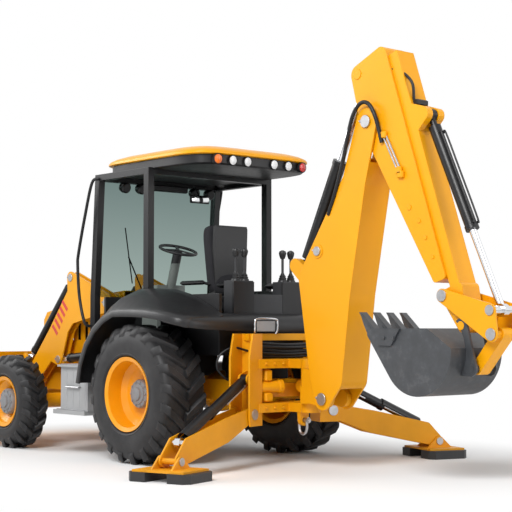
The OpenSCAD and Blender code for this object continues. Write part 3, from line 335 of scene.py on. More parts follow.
class Shape:
    """Vertices and faces gathered from simple forms, turned into one piece at the end."""

    def __init__(self):
        self.points = []
        self.faces = []

    def add(self, points, faces):
        """Takes in a form; its faces count from its own first point."""
        start = len(self.points)
        self.points += [tuple(p) for p in points]
        self.faces += [tuple(i + start for i in f) for f in faces]

    def rings(self, rings, caps=True):
        """Skins a row of rings that have as many points each."""
        n = len(rings[0])
        points = [p for ring in rings for p in ring]
        faces = []
        for i in range(len(rings) - 1):
            for j in range(n):
                k = (j + 1) % n
                faces.append((i * n + j, i * n + k, (i + 1) * n + k, (i + 1) * n + j))
        if caps:
            faces.append(tuple(range(n - 1, -1, -1)))
            faces.append(tuple(range((len(rings) - 1) * n, len(rings) * n)))
        self.add(points, faces)

    def tube(self, path, radius, sides=10):
        """A round bar along a path."""
        path = [Vector(p) for p in path]
        across = None
        rings = []
        for i, p in enumerate(path):
            run = (path[min(i + 1, len(path) - 1)] - path[max(i - 1, 0)]).normalized()
            if across is None:
                across = run.orthogonal().normalized()
            else:
                across = (across - run * across.dot(run)).normalized()
            other = run.cross(across)
            rings.append([p + radius * (math.cos(a) * across + math.sin(a) * other)
                          for a in (2 * math.pi * k / sides for k in range(sides))])
        self.rings(rings)

    def turned(self, profile, centre, axis, sides, close=True):
        """A form turned about an axis; the profile gives radius and place along the axis."""
        axis = Vector(axis).normalized()
        u = axis.orthogonal().normalized()
        v = axis.cross(u)
        centre = Vector(centre)
        rings = [[centre + axis * h + max(r, TIP_R) * (math.cos(a) * u + math.sin(a) * v)
                  for a in (2 * math.pi * k / sides for k in range(sides))] for r, h in profile]
        if close:
            rings.append(rings[0])
        self.rings(rings, caps=False)

    def disc(self, centre, axis, radius, height, sides=24):
        """A round boss with a chamfered top."""
        c = 0.15 * height
        profile = [(0, 0), (radius, 0), (radius, height - c), (radius - c, height), (0, height)]
        self.turned(profile, centre, axis, sides, close=False)

    def bolt(self, centre, axis, size):
        """A hexagon head on its washer."""
        self.turned([(0, 0), (size, 0), (size, 0.2 * size), (0, 0.2 * size)], centre, axis, 16, close=False)
        self.turned([(0, 0.2 * size), (0.72 * size, 0.2 * size), (0.72 * size, 0.75 * size),
                     (0.6 * size, 0.85 * size), (0, 0.85 * size)], centre, axis, 6, close=False)

    def block(self, low, high, round_by):
        """A box with chamfered edges."""
        lo, hi = Vector(low), Vector(high)
        r = min(round_by, *[(hi[i] - lo[i]) * 0.45 for i in range(3)])
        rings = []
        for z, inset in ((lo.z, r), (lo.z + r, 0), (hi.z - r, 0), (hi.z, r)):
            x0, x1, y0, y1 = lo.x + inset, hi.x - inset, lo.y + inset, hi.y - inset
            rings.append([(x0 + r, y0, z), (x1 - r, y0, z), (x1, y0 + r, z), (x1, y1 - r, z),
                          (x1 - r, y1, z), (x0 + r, y1, z), (x0, y1 - r, z), (x0, y0 + r, z)])
        self.rings(rings)

    def slab(self, outline, y0, y1):
        """A side view outline given depth from y0 to y1."""
        self.rings([[(x, y0, z) for x, z in outline], [(x, y1, z) for x, z in outline]])

    def mirrored(self):
        """The same form on both sides of the machine."""
        other = [(x, -y, z) for x, y, z in self.points]
        flipped = [tuple(reversed(f)) for f in self.faces]
        self.add(other, flipped)
        return self

    def piece(self, name, material, body, slot, smooth=True, replaces=()):
        """The finished piece, riding on a body and standing for the nodes it replaces."""
        mesh = bpy.data.meshes.new(name)
        mesh.from_pydata([at(p) for p in self.points], [], self.faces)
        mesh.validate()
        mesh.materials.append(material)
        obj = show(name, mesh)
        if smooth:
            mesh.shade_smooth()
            mesh.set_sharp_from_angle(angle=SHARP_ANGLE)
        if body:
            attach(obj, body)
        if replaces:
            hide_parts(*replaces)
        return obj


def smooth_path(points, steps=6):
    """A curve through the points (Catmull-Rom)."""
    points = [Vector(p) for p in points]
    ends = [2 * points[0] - points[1], *points, 2 * points[-1] - points[-2]]
    path = []
    for i in range(1, len(ends) - 2):
        a, b, c, d = ends[i - 1:i + 3]
        for k in range(steps):
            t = k / steps
            path.append(0.5 * (2 * b + (c - a) * t + (2 * a - 5 * b + 4 * c - d) * t * t
                               + (3 * b - 3 * c + d - a) * t ** 3))
    path.append(points[-1])
    return path


# Finishes of the solids that show as they are, and of the ones that pieces stand for
finishes = {
    frame_paint: ["frame", "rear_frame", "kingpost", "rear_axle", "front_axle", "leg_l", "leg_r"],
    paint: ["hood", "loader_arms", "shovel", "tilt_levers", "tilt_links", "boom", "dipper", "slider",
            "bucket_lever", "bucket_link"],
    rim_paint: ["rim_rl", "rim_rr", "rim_fl", "rim_fr"],
    black_paint: ["platform", "canopy", "lift_barrels", "tilt_barrels", "boom_barrel", "dipper_barrel",
                  "bucket_barrel", "leg_barrel_l", "leg_barrel_r"],
    iron: ["engine", "knuckle_l", "knuckle_r"],
    moulding: ["fenders", "seat", "roof"],
    console: ["consoles"],
    dash_finish: ["dash"],
    box_grey: ["side_boxes"],
    bucket_steel: ["bucket"],
    chrome: ["lift_rods", "tilt_rods", "boom_rod", "dipper_rod", "bucket_rod", "leg_rod_l", "leg_rod_r"],
    foot_finish: ["foot_l", "foot_r"],
    tyre_rubber: ["tyre_rl", "tyre_rr", "tyre_fl", "tyre_fr"],
    white_lens: ["lamps"],
    screen: ["windscreen"],
}
for material, names in finishes.items():
    for n in names:
        nodes[n].data.materials.clear()
        nodes[n].data.materials.append(material)


# Tyres with their lugs

# Stops of a tyre's side: rise over the rim and inset, then drop under the crown and inset
BEAD = ((-10, 44), (6, 31), (16, 12), (30, 6), (34, 10))
SHOULDER = ((34, 26), (12, 42), (0, 78))
LUG_H = 38


def tyre(node, body, centre, r, w, rim, lugs, lean):
    """A round carcass with two rows of slanted lugs, inside the outline of the solid tyre."""
    shape = Shape()
    half = w / 2
    crown = r - LUG_H
    side = [(rim + rise, half - inset) for rise, inset in BEAD]
    side += [(rim + 0.35 * (crown - rim), half - 4), (rim + 0.55 * (crown - rim), half - 5)]
    side += [(crown - drop, half - inset) for drop, inset in SHOULDER]
    side.append((crown + 2, 0))
    profile = side + [(a, -b) for a, b in reversed(side[:-1])]
    shape.turned(profile, centre, LEFT, 96)
    # Stops of a lug from the side to the middle: inset, top, foot and share of the full thickness
    stops = ((16, crown - 34, crown - 62, 0.85), (31, crown - 2, crown - 52, 1.0),
             (44, crown + 0.5 * LUG_H, crown - 40, 1.0), (58, r, crown - 24, 1.0),
             (0.35 * half + 38, r, crown - 6, 1.0), (0.75 * half + 14, r, crown - 4, 0.92),
             (1.02 * half, r, crown - 4, 0.8))
    for hand in (-1, 1):
        for i in range(lugs):
            start = 2 * math.pi * (i + 0.25 * (1 + hand)) / lugs
            rings = []
            for inset, top, foot, wide in stops:
                y = hand * (half - inset)
                bend = start + (inset / half) ** 1.15 * lean / r
                base = 0.074 * r * wide + 8
                face = 0.052 * r * wide + 8
                outline = ((foot, -base), (top - 5, -face), (top, -face + 6), (top, face - 6),
                           (top - 5, face), (foot, base))
                rings.append([(centre[0] + q * math.cos(bend + s / r), centre[1] + y,
                               centre[2] + q * math.sin(bend + s / r)) for q, s in outline])
            shape.rings(rings)
    shape.piece("tread_" + node[5:], tyre_rubber, body, "tyre", replaces=(node,))


HUB_NUTS, NUT_CIRCLE, NUT_SIZE = 10, 106, 13
# The hub's profile: radius, place along the axle from its face
HUB_PROFILE = ((127, -60), (129, -12), (118, 4), (92, 6), (88, 16), (60, 20), (56, 34), (30, 38), (0, 38))


def hub(name, body, centre, hand, face):
    """The grey hub disc with its nuts, over the solid hub of a rim."""
    shape = Shape()
    out = (0, hand, 0)
    shape.turned([(r, face + along) for r, along in HUB_PROFILE], centre, out, 40, close=False)
    for k in range(HUB_NUTS):
        a = 2 * math.pi * k / HUB_NUTS
        x = centre[0] + NUT_CIRCLE * math.cos(a)
        z = centre[2] + NUT_CIRCLE * math.sin(a)
        shape.bolt((x, centre[1] + hand * (face + 3), z), out, NUT_SIZE)
    shape.piece(name, hub_grey, body, "axle_iron")


REAR_R, REAR_W, REAR_RIM, REAR_Y = 615, 490, 330, 860
FRONT_R, FRONT_W, FRONT_RIM, FRONT_Y, WHEELBASE = 465, 310, 250, 918, 2170
for hand, mark in ((1, "l"), (-1, "r")):
    rear = (0, hand * REAR_Y, REAR_R)
    front = (WHEELBASE, hand * FRONT_Y, FRONT_R)
    tyre("tyre_r" + mark, "wheel_r" + mark, rear, REAR_R, REAR_W, REAR_RIM, lugs=20, lean=190)
    tyre("tyre_f" + mark, "wheel_f" + mark, front, FRONT_R, FRONT_W, FRONT_RIM, lugs=18, lean=120)
    hub("hub_r" + mark, "wheel_r" + mark, rear, hand, face=90)
    hub("hub_f" + mark, "wheel_f" + mark, front, hand, face=100)


# Fenders: one moulded sweep from in front of the wheel, over it and down to the rear corner

FENDER_ARCH_R, FENDER_LIP_Y, CAB_SIDE_Y = REAR_R + 91, 1128, 602
# Stops round the front of the wheel: angle, rise to the inner edge, inner y
ARCH_STOPS = ((6, 34, 640), (20, 60, 640), (35, 110, 660), (50, 175, 700), (64, 240, 735), (76, 268, 748))
# Stops from the top of the wheel back: x, z, lip y, rise to the inner edge, inner y
BACK_STOPS = ((60, 1302, 1130, 258, 748), (-120, 1300, 1130, 244, 730), (-300, 1292, 1130, 212, 700),
              (-450, 1278, 1128, 172, 660), (-580, 1256, 1116, 140, 630), (-680, 1232, 1092, 122, 615),
              (-735, 1214, 1052, 112, 610), (-757, 1204, 1000, 104, 608))
# The rear moulding's section: share of its depth, share of its height
TAIL_SECTION = ((0.14, 0.02), (0.04, -0.03), (0, 0.06), (0.012, 0.36), (0.09, 0.58), (0.33, 0.80),
                (0.73, 0.97), (1, 1), (1, 0.70), (0.60, 0.46), (0.22, 0.23))
# Its stops to the middle of the machine: place in plan, outward direction, lower edge, height and depth
TAIL_STOPS = ((-560, 1112, -0.15, 0.99, 1252, 110, 150), (-660, 1086, -0.40, 0.92, 1232, 118, 160),
              (-735, 1030, -0.70, 0.71, 1213, 125, 170), (-778, 930, -0.92, 0.39, 1199, 130, 165),
              (-794, 800, -0.99, 0.10, 1190, 136, 150), (-798, 640, -1, 0, 1182, 144, 130),
              (-799, 420, -1, 0, 1174, 152, 120), (-800, 200, -1, 0, 1170, 158, 115),
              (-800, 0, -1, 0, 1168, 162, 112))


def fender_sections():
    """Rows of (place, up direction, lip y, height to the inner edge, inner y)."""
    for degrees, rise, inner in ARCH_STOPS:
        a = math.radians(degrees)
        place = (FENDER_ARCH_R * math.cos(a), REAR_R + FENDER_ARCH_R * math.sin(a))
        yield place, (math.cos(a), math.sin(a)), FENDER_LIP_Y, rise, inner
    for x, z, lip, rise, inner in BACK_STOPS:
        yield (x, z), (0, 1), lip, rise, inner


fender = Shape()
rows = []
for (x, z), (ux, uz), lip, rise, inner in fender_sections():
    outline = [(lip - 24, 4), (lip - 8, -4), (lip, 6), (lip - 2, 44), (lip - 16, 66), (lip - 60, 84),
               (lip - 0.35 * (lip - inner), 0.50 * rise + 40), (inner + 60, rise - 18),
               (inner + 14, rise - 3), (inner - 6, rise), (CAB_SIDE_Y, rise), (CAB_SIDE_Y, rise - 36),
               (inner - 10, rise - 40), (lip - 0.45 * (lip - inner), 0.45 * rise + 8), (lip - 70, 46),
               (lip - 34, 34)]
    rows.append([(x + ux * h, y, z + uz * h) for y, h in outline])
fender.rings(rows)
fender.mirrored()
tail_rows = [[(x - nx * deep * d, y - ny * deep * d, low + tall * h) for d, h in TAIL_SECTION]
             for x, y, nx, ny, low, tall, deep in TAIL_STOPS]
tail_rows += [[(x, -y, z) for x, y, z in row] for row in reversed(tail_rows[:-1])]
fender.rings(tail_rows)
fender.piece("fender_mouldings", moulding, "chassis", "black_plastic", replaces=("fenders",))

# Roof: a crowned yellow cap over a black band with the lamps

ROOF_MID, ROOF_HALF_X, ROOF_HALF_Y = 220, 806, 728
BAND_SHARE = 0.960
# Rows of the cap and of the band: share of the roof's size, height
CAP_ROWS = ((0.94, 2744), (0.985, 2744), (1.0, 2750), (1.0, 2764), (0.985, 2782), (0.93, 2806),
            (0.84, 2828), (0.66, 2850), (0.40, 2864), (0.12, 2868))
BAND_ROWS = ((0.925, 2652), (0.945, 2656), (BAND_SHARE, 2668), (BAND_SHARE, 2742), (0.93, 2745))


def roof_ring(scale, z, sides=96, power=0.36):
    """A rounded rectangle in plan, as a superellipse."""
    ring = []
    for k in range(sides):
        a = 2 * math.pi * k / sides
        c, s = math.cos(a), math.sin(a)
        ring.append((ROOF_MID + scale * ROOF_HALF_X * math.copysign(abs(c) ** power, c),
                     scale * ROOF_HALF_Y * math.copysign(abs(s) ** power, s), z))
    return ring


cap = Shape()
cap.rings([roof_ring(s, z) for s, z in CAP_ROWS])
cap.piece("roof_cap", paint, "chassis", "yellow_paint", replaces=("roof",))
band = Shape()
band.rings([roof_ring(s, z) for s, z in BAND_ROWS])
band.piece("roof_band", moulding, "chassis", "black_plastic")

# Six lamps behind: the outer two are indicators with taller domes
LAMP_Z, LAMP_X, INDICATOR_Y = 2698, ROOF_MID - BAND_SHARE * ROOF_HALF_X - 12, 508
BEZEL = ((36, -30), (49, -30), (49, 6), (46, 11), (42, 7), (42, -6))
bezels, whites, ambers, reds = Shape(), Shape(), Shape(), Shape()
for y in (-INDICATOR_Y, -335, -160, 160, 335, INDICATOR_Y):
    place = (LAMP_X, y, LAMP_Z)
    back = (-1, 0.10 * math.copysign((abs(y) / 600) ** 2, y), -0.06)
    bezels.turned(BEZEL, place, back, 32)
    if abs(y) < INDICATOR_Y:
        target, dome = whites, 8
    else:
        target, dome = (ambers if y > 0 else reds), 20
    target.turned([(43, 0), (40, 0.5 * dome), (29, 0.85 * dome), (13, dome), (0, dome)], place, back, 32,
                  close=False)
bezels.piece("lamp_bezels", black_paint, "chassis", "black_paint")
whites.piece("lamp_whites", white_lens, "chassis", "lamp_lens", replaces=("lamps",))
ambers.piece("lamp_amber_left", amber_lens, "chassis", "lamp_lens")
reds.piece("lamp_red_right", red_lens, "chassis", "lamp_lens")

# Cab fittings: handrails, wiper, inner lamps, mirror

rails = Shape()
for hand in (1, -1):
    path = smooth_path([(944, hand * 752, 2630), (985, hand * 800, 2590), (1080, hand * 812, 2290),
                        (1185, hand * 815, 1930), (1200, hand * 815, 1800), (1170, hand * 812, 1500),
                        (1100, hand * 800, 1260), (1076, hand * 750, 1215)])
    rails.tube(path, 15)
rails.piece("handrails", black_paint, "chassis", "black_paint")

wiper = Shape()
wiper.tube([(1062, 120, 1520), (1040, 330, 1900)], 7, 8)
wiper.tube([(1072, 260, 1640), (1012, 390, 2180)], 6, 8)
wiper.piece("wiper", black_paint, "chassis", "black_paint")

LAMP_POT = ((0, 0), (44, 4), (52, 30), (52, 70), (40, 84), (0, 84))
visors = Shape()
for y in (-520, -330, 330, 520):
    visors.turned(LAMP_POT, (880, y, 2560), (-1, 0, -0.2), 24, close=False)
visors.block((830, -250, 2545), (880, 250, 2608), 10)
visors.piece("cab_lamps", black_paint, "chassis", "black_paint")

MIRROR_X, MIRROR_Y, MIRROR_Z = 700, -300, 2480
GLASS_HALF_Y = 108
# Stops across the mirror's glass: place along it, half height
GLASS_STOPS = ((-GLASS_HALF_Y, 12), (-100, 26), (-72, 30), (0, 30), (72, 30), (100, 26), (GLASS_HALF_Y, 12))
mirror = Shape()
mirror.block((MIRROR_X, MIRROR_Y - 120, MIRROR_Z - 40), (MIRROR_X + 28, MIRROR_Y + 120, MIRROR_Z + 40), 10)
mirror.tube([(MIRROR_X + 15, MIRROR_Y, MIRROR_Z + 30), (800, MIRROR_Y, 2620)], 7, 8)
mirror.piece("mirror_shell", black_paint, "chassis", "black_paint")
glass_face = Shape()
bowed = []
for along, half in GLASS_STOPS:
    y = MIRROR_Y + along
    bow = MIRROR_X - 2 - 6 * (1 - (along / GLASS_HALF_Y) ** 2)
    rim_x = MIRROR_X + 2
    bowed.append([(bow, y, MIRROR_Z - half), (bow - 2, y, MIRROR_Z - 0.5 * half),
                  (bow - 2, y, MIRROR_Z + 0.5 * half), (bow, y, MIRROR_Z + half),
                  (rim_x, y, MIRROR_Z + half), (rim_x, y, MIRROR_Z - half)])
glass_face.rings(bowed)
glass_face.piece("mirror_glass", mirror_face, "chassis", "chrome_rod")


# Seat: cushion, backrest, shell, arm rests and pedestal bellows

def pad(shape, centre, half, lean, crown, steps=14, edge_power=0.35, corner_power=0.3):
    """A crowned pad: a rounded box whose faces swell, leaned back about the y axis."""
    tilt = Matrix.Rotation(math.radians(lean), 3, "Y")
    rings = []
    for i in range(steps + 1):
        a = math.pi * (i / steps - 0.5)
        h = math.copysign(abs(math.sin(a)) ** edge_power, a)
        k = max(abs(math.cos(a)), 0.02) ** edge_power
        ring = []
        for j in range(4 * steps):
            b = 2 * math.pi * j / (4 * steps)
            c, s = math.cos(b), math.sin(b)
            x = half[0] * k * math.copysign(abs(c) ** corner_power, c)
            y = half[1] * k * math.copysign(abs(s) ** corner_power, s)
            swell = 1 + crown * (1 - (x / half[0]) ** 2) * (1 - (y / half[1]) ** 2)
            ring.append(Vector(centre) + tilt @ Vector((x, y, half[2] * h * swell)))
        rings.append(ring)
    shape.rings(rings)


ARM_REST_Y, PLEATS, PLEAT_H, PEDESTAL_TOP = 262, 6, 48, 1090
cushion = Shape()
pad(cushion, (165, 0, 1440), (225, 228, 62), lean=-4, crown=0.25)
seat_cushion = cushion.piece("seat_cushion", cloth, "chassis", "seat_cloth", replaces=("seat",))
backrest = Shape()
pad(backrest, (-52, 0, 1830), (330, 215, 52), lean=98, crown=0.3)
seat_back = backrest.piece("seat_back", cloth, "chassis", "seat_cloth")
shell = Shape()
shell.slab([(-128, 1520), (-100, 1500), (-72, 1530), (-110, 2140), (-140, 2150), (-152, 2120)], -190, 190)
for hand in (1, -1):
    shell.block((-60, hand * ARM_REST_Y - 32, 1600), (270, hand * ARM_REST_Y + 32, 1640), 14)
    shell.tube([(-60, hand * 255, 1615), (-95, hand * 200, 1600)], 14, 8)
shell.block((-20, -170, 1001), (300, 170, PEDESTAL_TOP), 18)
for i in range(PLEATS):
    half = 150 - 6 * (i % 2)
    z = PEDESTAL_TOP + PLEAT_H * i
    shell.block((10, -half, z), (260, half, z + PLEAT_H - 2), 14)
shell.piece("seat_shell", moulding, "chassis", "seat_cloth")

# Rear consoles: boots, arm pads and lever grips

LEVER_X, CONSOLE_Y, CONSOLE_TOP, GRIP_Z = -600, 290, 1619, 1850
BOOT = ((44, 0), (42, 14), (34, 22), (36, 34), (28, 44), (30, 54), (20, 66), (13, 84), (0, 84))
GRIP = ((0, -20), (20, -18), (30, 10), (35, 34), (28, 52), (0, 60))
trim = Shape()
for hand in (1, -1):
    middle_y = hand * CONSOLE_Y
    for y in (230, 330):
        trim.turned(BOOT, (LEVER_X, hand * y, CONSOLE_TOP), UP, 20, close=False)
        trim.turned(GRIP, (LEVER_X, hand * y, GRIP_Z), UP, 20, close=False)
    trim.block((-520, middle_y - 60, 1560), (-330, middle_y + 60, 1612), 22)
    trim.slab([(-668, 1010), (-650, 1010), (-640, 1600), (-668, 1610)], middle_y - 118, middle_y + 118)
trim.piece("console_trim", moulding, "chassis", "black_plastic")

# Hood: grille frame, lamps and exhaust

GRILLE_BACK, GRILLE_FRONT, GRILLE_HALF, GRILLE_LOW, GRILLE_HIGH = 2594, 2604, 262, 770, 1245
HEADLAMP_Y, HEADLAMP_Z = 150, 1120
EXHAUST_Y, EXHAUST_R = 190, 38
nose = Shape()
for low_z in (GRILLE_LOW, GRILLE_HIGH - 30):
    nose.block((GRILLE_BACK, -GRILLE_HALF, low_z), (GRILLE_FRONT, GRILLE_HALF, low_z + 30), 3)
for hand in (1, -1):
    nose.block((GRILLE_BACK, hand * GRILLE_HALF - 8, GRILLE_LOW),
               (GRILLE_FRONT, hand * GRILLE_HALF + 8, GRILLE_HIGH), 3)
    nose.turned([(0, 0), (62, 0), (66, 14), (58, 20), (50, 12), (0, 12)],
                (GRILLE_BACK + 4, hand * HEADLAMP_Y, HEADLAMP_Z), AHEAD, 32, close=False)
nose.tube([(1900, EXHAUST_Y, 1480), (1900, EXHAUST_Y, 1640), (1895, EXHAUST_Y, 1700)], EXHAUST_R, 20)
nose.turned([(EXHAUST_R, 0), (44, 4), (44, 90), (34, 96)], (1895, EXHAUST_Y, 1500), UP, 24)
nose.piece("hood_trim", black_paint, "chassis", "black_paint")
front_lens = Shape()
for hand in (1, -1):
    front_lens.turned([(0, 0), (50, 0), (44, 8), (24, 13), (0, 14)],
                      (GRILLE_FRONT + 7, hand * HEADLAMP_Y, HEADLAMP_Z), AHEAD, 28, close=False)
front_lens.piece("front_lamps", white_lens, "chassis", "lamp_lens")

# Tool box and steps

STEP_EDGE_Y, TREAD_BARS, TREAD_PITCH = 935, 6, 40
DOOR_RIBS, RIB_PITCH = 4, 108
steps = Shape()
for z, x0, x1 in ((852, 850, 1290), (422, 880, 1360)):
    for k in range(TREAD_BARS):
        y = STEP_EDGE_Y - TREAD_PITCH * k
        steps.block((x0, y - 12, z - 2), (x1, y + 8, z + 6), 2)
steps.tube([(960, 934, 640), (960, 952, 640), (1180, 952, 640), (1180, 934, 640)], 8, 8)
for k in range(DOOR_RIBS):
    x = 870 + RIB_PITCH * k
    steps.block((x, 929, 450), (x + 6, 933, 800), 1.5)
steps.mirrored().piece("step_treads", steel, "chassis", "grey_paint")

# Rear frame: hose bundle, plate holder, swing rams, bolts and shackle

HOSES, HOSE_PITCH, HOSE_R = 5, 27, 13
hoses = Shape()
for k in range(HOSES):
    z = 958 + HOSE_PITCH * k
    x = -925 - 14 * (k % 2) - 5 * k
    sag = 8 + 4 * (k % 3)
    hoses.tube(smooth_path([(x + 40, 395, z + 10), (x, 330, z), (x - 8, 120, z - sag), (x - 10, -60, z - sag),
                            (x, -330, z), (x + 40, -395, z + 8)], 5), HOSE_R, 10)
for hand in (1, -1):
    hoses.tube(smooth_path([(-850, hand * 400, 1000), (-806, hand * 540, 1030), (-764, hand * 650, 960),
                            (-760, hand * 670, 850), (-786, hand * 590, 760), (-800, hand * 515, 745)], 6),
               10, 8)
hoses.piece("frame_hoses", hose_rubber, "chassis", "foot_rubber")

PLATE_BACK = -897
holder = Shape()
hoop = smooth_path([(-884, 110, 1150), (-896, 100, 1180), (-898, 100, 1250), (-898, 130, 1278),
                    (-898, 330, 1278), (-898, 360, 1250), (-896, 360, 1180), (-884, 350, 1150)], 4)
holder.tube(hoop, 9, 10)
holder.piece("plate_frame", chrome, "chassis", "chrome_rod")
plate = Shape()
plate.block((PLATE_BACK, 125, 1168), (PLATE_BACK + 7, 335, 1262), 4)
for y in (150, 310):
    for z in (1184, 1246):
        plate.bolt((PLATE_BACK, y, z), BACK, 7)
plate.piece("blank_plate", box_grey, "chassis", "grey_paint")

SWING_X, SWING_Y, SWING_Z = -935, 270, 690
SWING_RAM = ((0, -150), (40, -150), (52, -138), (52, 118), (60, 122), (60, 158), (40, 166), (0, 166))
swing_rams = Shape()
for hand in (1, -1):
    y = hand * SWING_Y
    swing_rams.turned(SWING_RAM, (SWING_X, y, SWING_Z), (-0.22, -hand, 0), 28, close=False)
    swing_rams.block((SWING_X - 55, y - 44, 560), (SWING_X + 55, y + 44, 640), 12)
    swing_rams.block((SWING_X - 50, y - 40, 738), (SWING_X + 50, y + 40, 840), 12)
swing_rams.piece("swing_rams", frame_paint, "chassis", "yellow_paint")

fixings = Shape()
for hand in (1, -1):
    fixings.bolt((-881, hand * 300, 1120), BACK, 14)
    for y in (120, 220, 320):
        for z in (510, 890):
            fixings.bolt((-1001, hand * y, z), BACK, 16)
fixings.piece("frame_bolts", frame_paint, "chassis", "yellow_paint")

TIE_Z = 400
shackle = Shape()
shackle.tube(smooth_path([(-1162, 0, TIE_Z + 5), (-1170, 0, 350), (-1158, 0, 300), (-1120, 0, 278),
                          (-1082, 0, 300), (-1070, 0, 350), (-1078, 0, TIE_Z + 5)]), 12, 10)
shackle.tube([(-1188, 0, TIE_Z), (-1062, 0, TIE_Z)], 17, 14)
shackle.bolt((-1186, 0, TIE_Z), BACK, 26)
shackle.piece("tow_shackle", steel, "chassis", "axle_iron")

# Loader arms: pin heads, pipes and plain stripes

ARM_FACE_Y = 469
# Pins of the left arm: x, z, radius of the head
ARM_PINS = ((1220, 1450, 46), (1860, 1715, 40), (2080, 880, 40), (2800, 490, 30), (2980, 310, 30))
STRIPES = 5
heads = Shape()
for x, z, r in ARM_PINS:
    heads.disc((x, ARM_FACE_Y, z), LEFT, r, 9)
    heads.bolt((x + r + 14, ARM_FACE_Y, z + 4), LEFT, 9)
heads.mirrored().piece("arm_pins", steel, "loader_arms", "chrome_rod")
pipes = Shape()
for k in range(2):
    y = 384 - 22 * k
    pipes.tube(smooth_path([(1330, y, 1530), (1700, y, 1560 - 10 * k), (1900, y, 1440), (2230, y, 1040),
                            (2560, y, 740)], 6), 9, 8)
pipes.mirrored().piece("arm_pipes", hose_rubber, "loader_arms", "black_paint")
stripes = Shape()
for k in range(STRIPES):
    x, z = 1900 + 46 * k, 1400 - 62 * k
    outline = [(x, z), (x + 24, z - 30), (x + 118, z + 64), (x + 96, z + 92)]
    stripes.slab(outline, ARM_FACE_Y + 1, ARM_FACE_Y + 2.5)
stripes.mirrored().piece("arm_stripes", stripe_red, "loader_arms", "yellow_paint")

# Shovel: bolted cutting edge, in the shovel's own frame about its pin

SHOVEL_CROWD, SHOVEL_PIN = math.radians(42), (2980, 310)
SHOVEL_HALF, EDGE_BOLTS, EDGE_BOLT_PITCH = 1172, 8, 300
EDGE_OUTLINE = ((640, -279), (904, -291), (918, -274), (904, -262), (640, -262))


def shovel_point(x, z):
    """A point of the shovel's side view, turned back by its crowd angle."""
    c, s = math.cos(SHOVEL_CROWD), math.sin(SHOVEL_CROWD)
    return SHOVEL_PIN[0] + x * c - z * s, SHOVEL_PIN[1] + x * s + z * c


edge = Shape()
edge.slab([shovel_point(*p) for p in EDGE_OUTLINE], -SHOVEL_HALF, SHOVEL_HALF)
down = (math.sin(SHOVEL_CROWD), 0, -math.cos(SHOVEL_CROWD))
x, z = shovel_point(730, -291)
for k in range(EDGE_BOLTS):
    edge.bolt((x - 2 * down[0], -1050 + EDGE_BOLT_PITCH * k, z - 2 * down[2]), down, 16)
edge.piece("shovel_edge", steel, "shovel", "yellow_paint")

# Digging arm: pins, hoses and pipes

DIPPER_PIVOT, DIPPER_LEAN = (-2050, 2890), math.radians(18.5)
BOOM_PINS = ((-1520, 600, 52), (*DIPPER_PIVOT, 52), (-1470, 1850, 40))


def dip(u, w):
    """A point of the dipper's side view: u down along it from its pivot, w back from its pivot."""
    c, s = math.cos(DIPPER_LEAN), math.sin(DIPPER_LEAN)
    return DIPPER_PIVOT[0] - s * u - c * w, DIPPER_PIVOT[1] - c * u + s * w


boom_pins = Shape()
for x, z, r in BOOM_PINS:
    boom_pins.disc((x, 158, z), LEFT, r, 12)
    boom_pins.bolt((x + r + 20, 150, z + 10), LEFT, 11)
boom_pins.mirrored().piece("boom_pins", steel, "boom", "chrome_rod")

boom_lines = Shape()
for y in (98, 60):
    boom_lines.tube(smooth_path([(-1310, y, 1560), (-1214, y, 1640), (-1330, y, 1815), (-1470, y, 2010),
                                 (-1600, y, 2200), (-1700, y, 2400)], 6), 12, 10)
boom_lines.block((-1510, 40, 1990), (-1440, 122, 2050), 8)
boom_lines.piece("boom_lines", hose_rubber, "boom", "black_paint")

loop = Shape()
loop.tube(smooth_path([(-1600, 150, 2150), (-1690, 158, 2330), (-1790, 168, 2570), (-1860, 176, 2780),
                       (-1925, 180, 2950), (-2010, 180, 3040), (-2100, 178, 3030), (-2165, 170, 2930),
                       (-2195, 150, 2800), (-2215, 140, 2700)], 8), 17, 12)
hose_loop = loop.piece("head_hose", hose_rubber, None, "black_paint")
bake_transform(hose_loop)

dip_pipes = Shape()
for y, w in ((136, 120), (134, 150)):
    start, end = dip(170, w), dip(520, w + 60)
    dip_pipes.tube([(start[0], y, start[1]), (end[0], y, end[1])], 8, 8)
dip_pipes.piece("dipper_pipes", steel, "dipper", "chrome_rod")
dip_blocks = Shape()
for u, w in ((180, 135), (520, 195), (560, 200)):
    x, z = dip(u, w)
    dip_blocks.block((x - 32, 122, z - 30), (x + 32, 152, z + 30), 8)
for u, w, r in ((-432, 10, 44), (840, 190, 22), (980, 250, 18), (1130, 270, 18), (1300, 290, 16)):
    x, z = dip(u, w)
    dip_blocks.disc((x, 121, z), LEFT, r, 8)
dip_blocks.piece("dipper_bosses", paint, "dipper", "yellow_paint")

# Two pipes along the back of the bucket ram
RAM_BASE, RAM_END = Vector((-2617, 0, 2891)), Vector((-3320, 0, 1330))
# Stops of a pipe: along the ram, back from its middle line
RAM_PIPE_STOPS = ((190, 40), (200, 62), (560, 63), (960, 62), (985, 46))
ram_dir = (RAM_END - RAM_BASE).normalized()
ram_back = Vector((ram_dir.z, 0, -ram_dir.x))
ram_pipes = Shape()
for y in (26, -26):
    route = [RAM_BASE + ram_dir * along + ram_back * off + Vector((0, y, 0)) for along, off in RAM_PIPE_STOPS]
    ram_pipes.tube(smooth_path(route, 5), 8, 8)
ram_pipes.piece("ram_pipes", black_paint, "bucket_barrel", "black_paint")

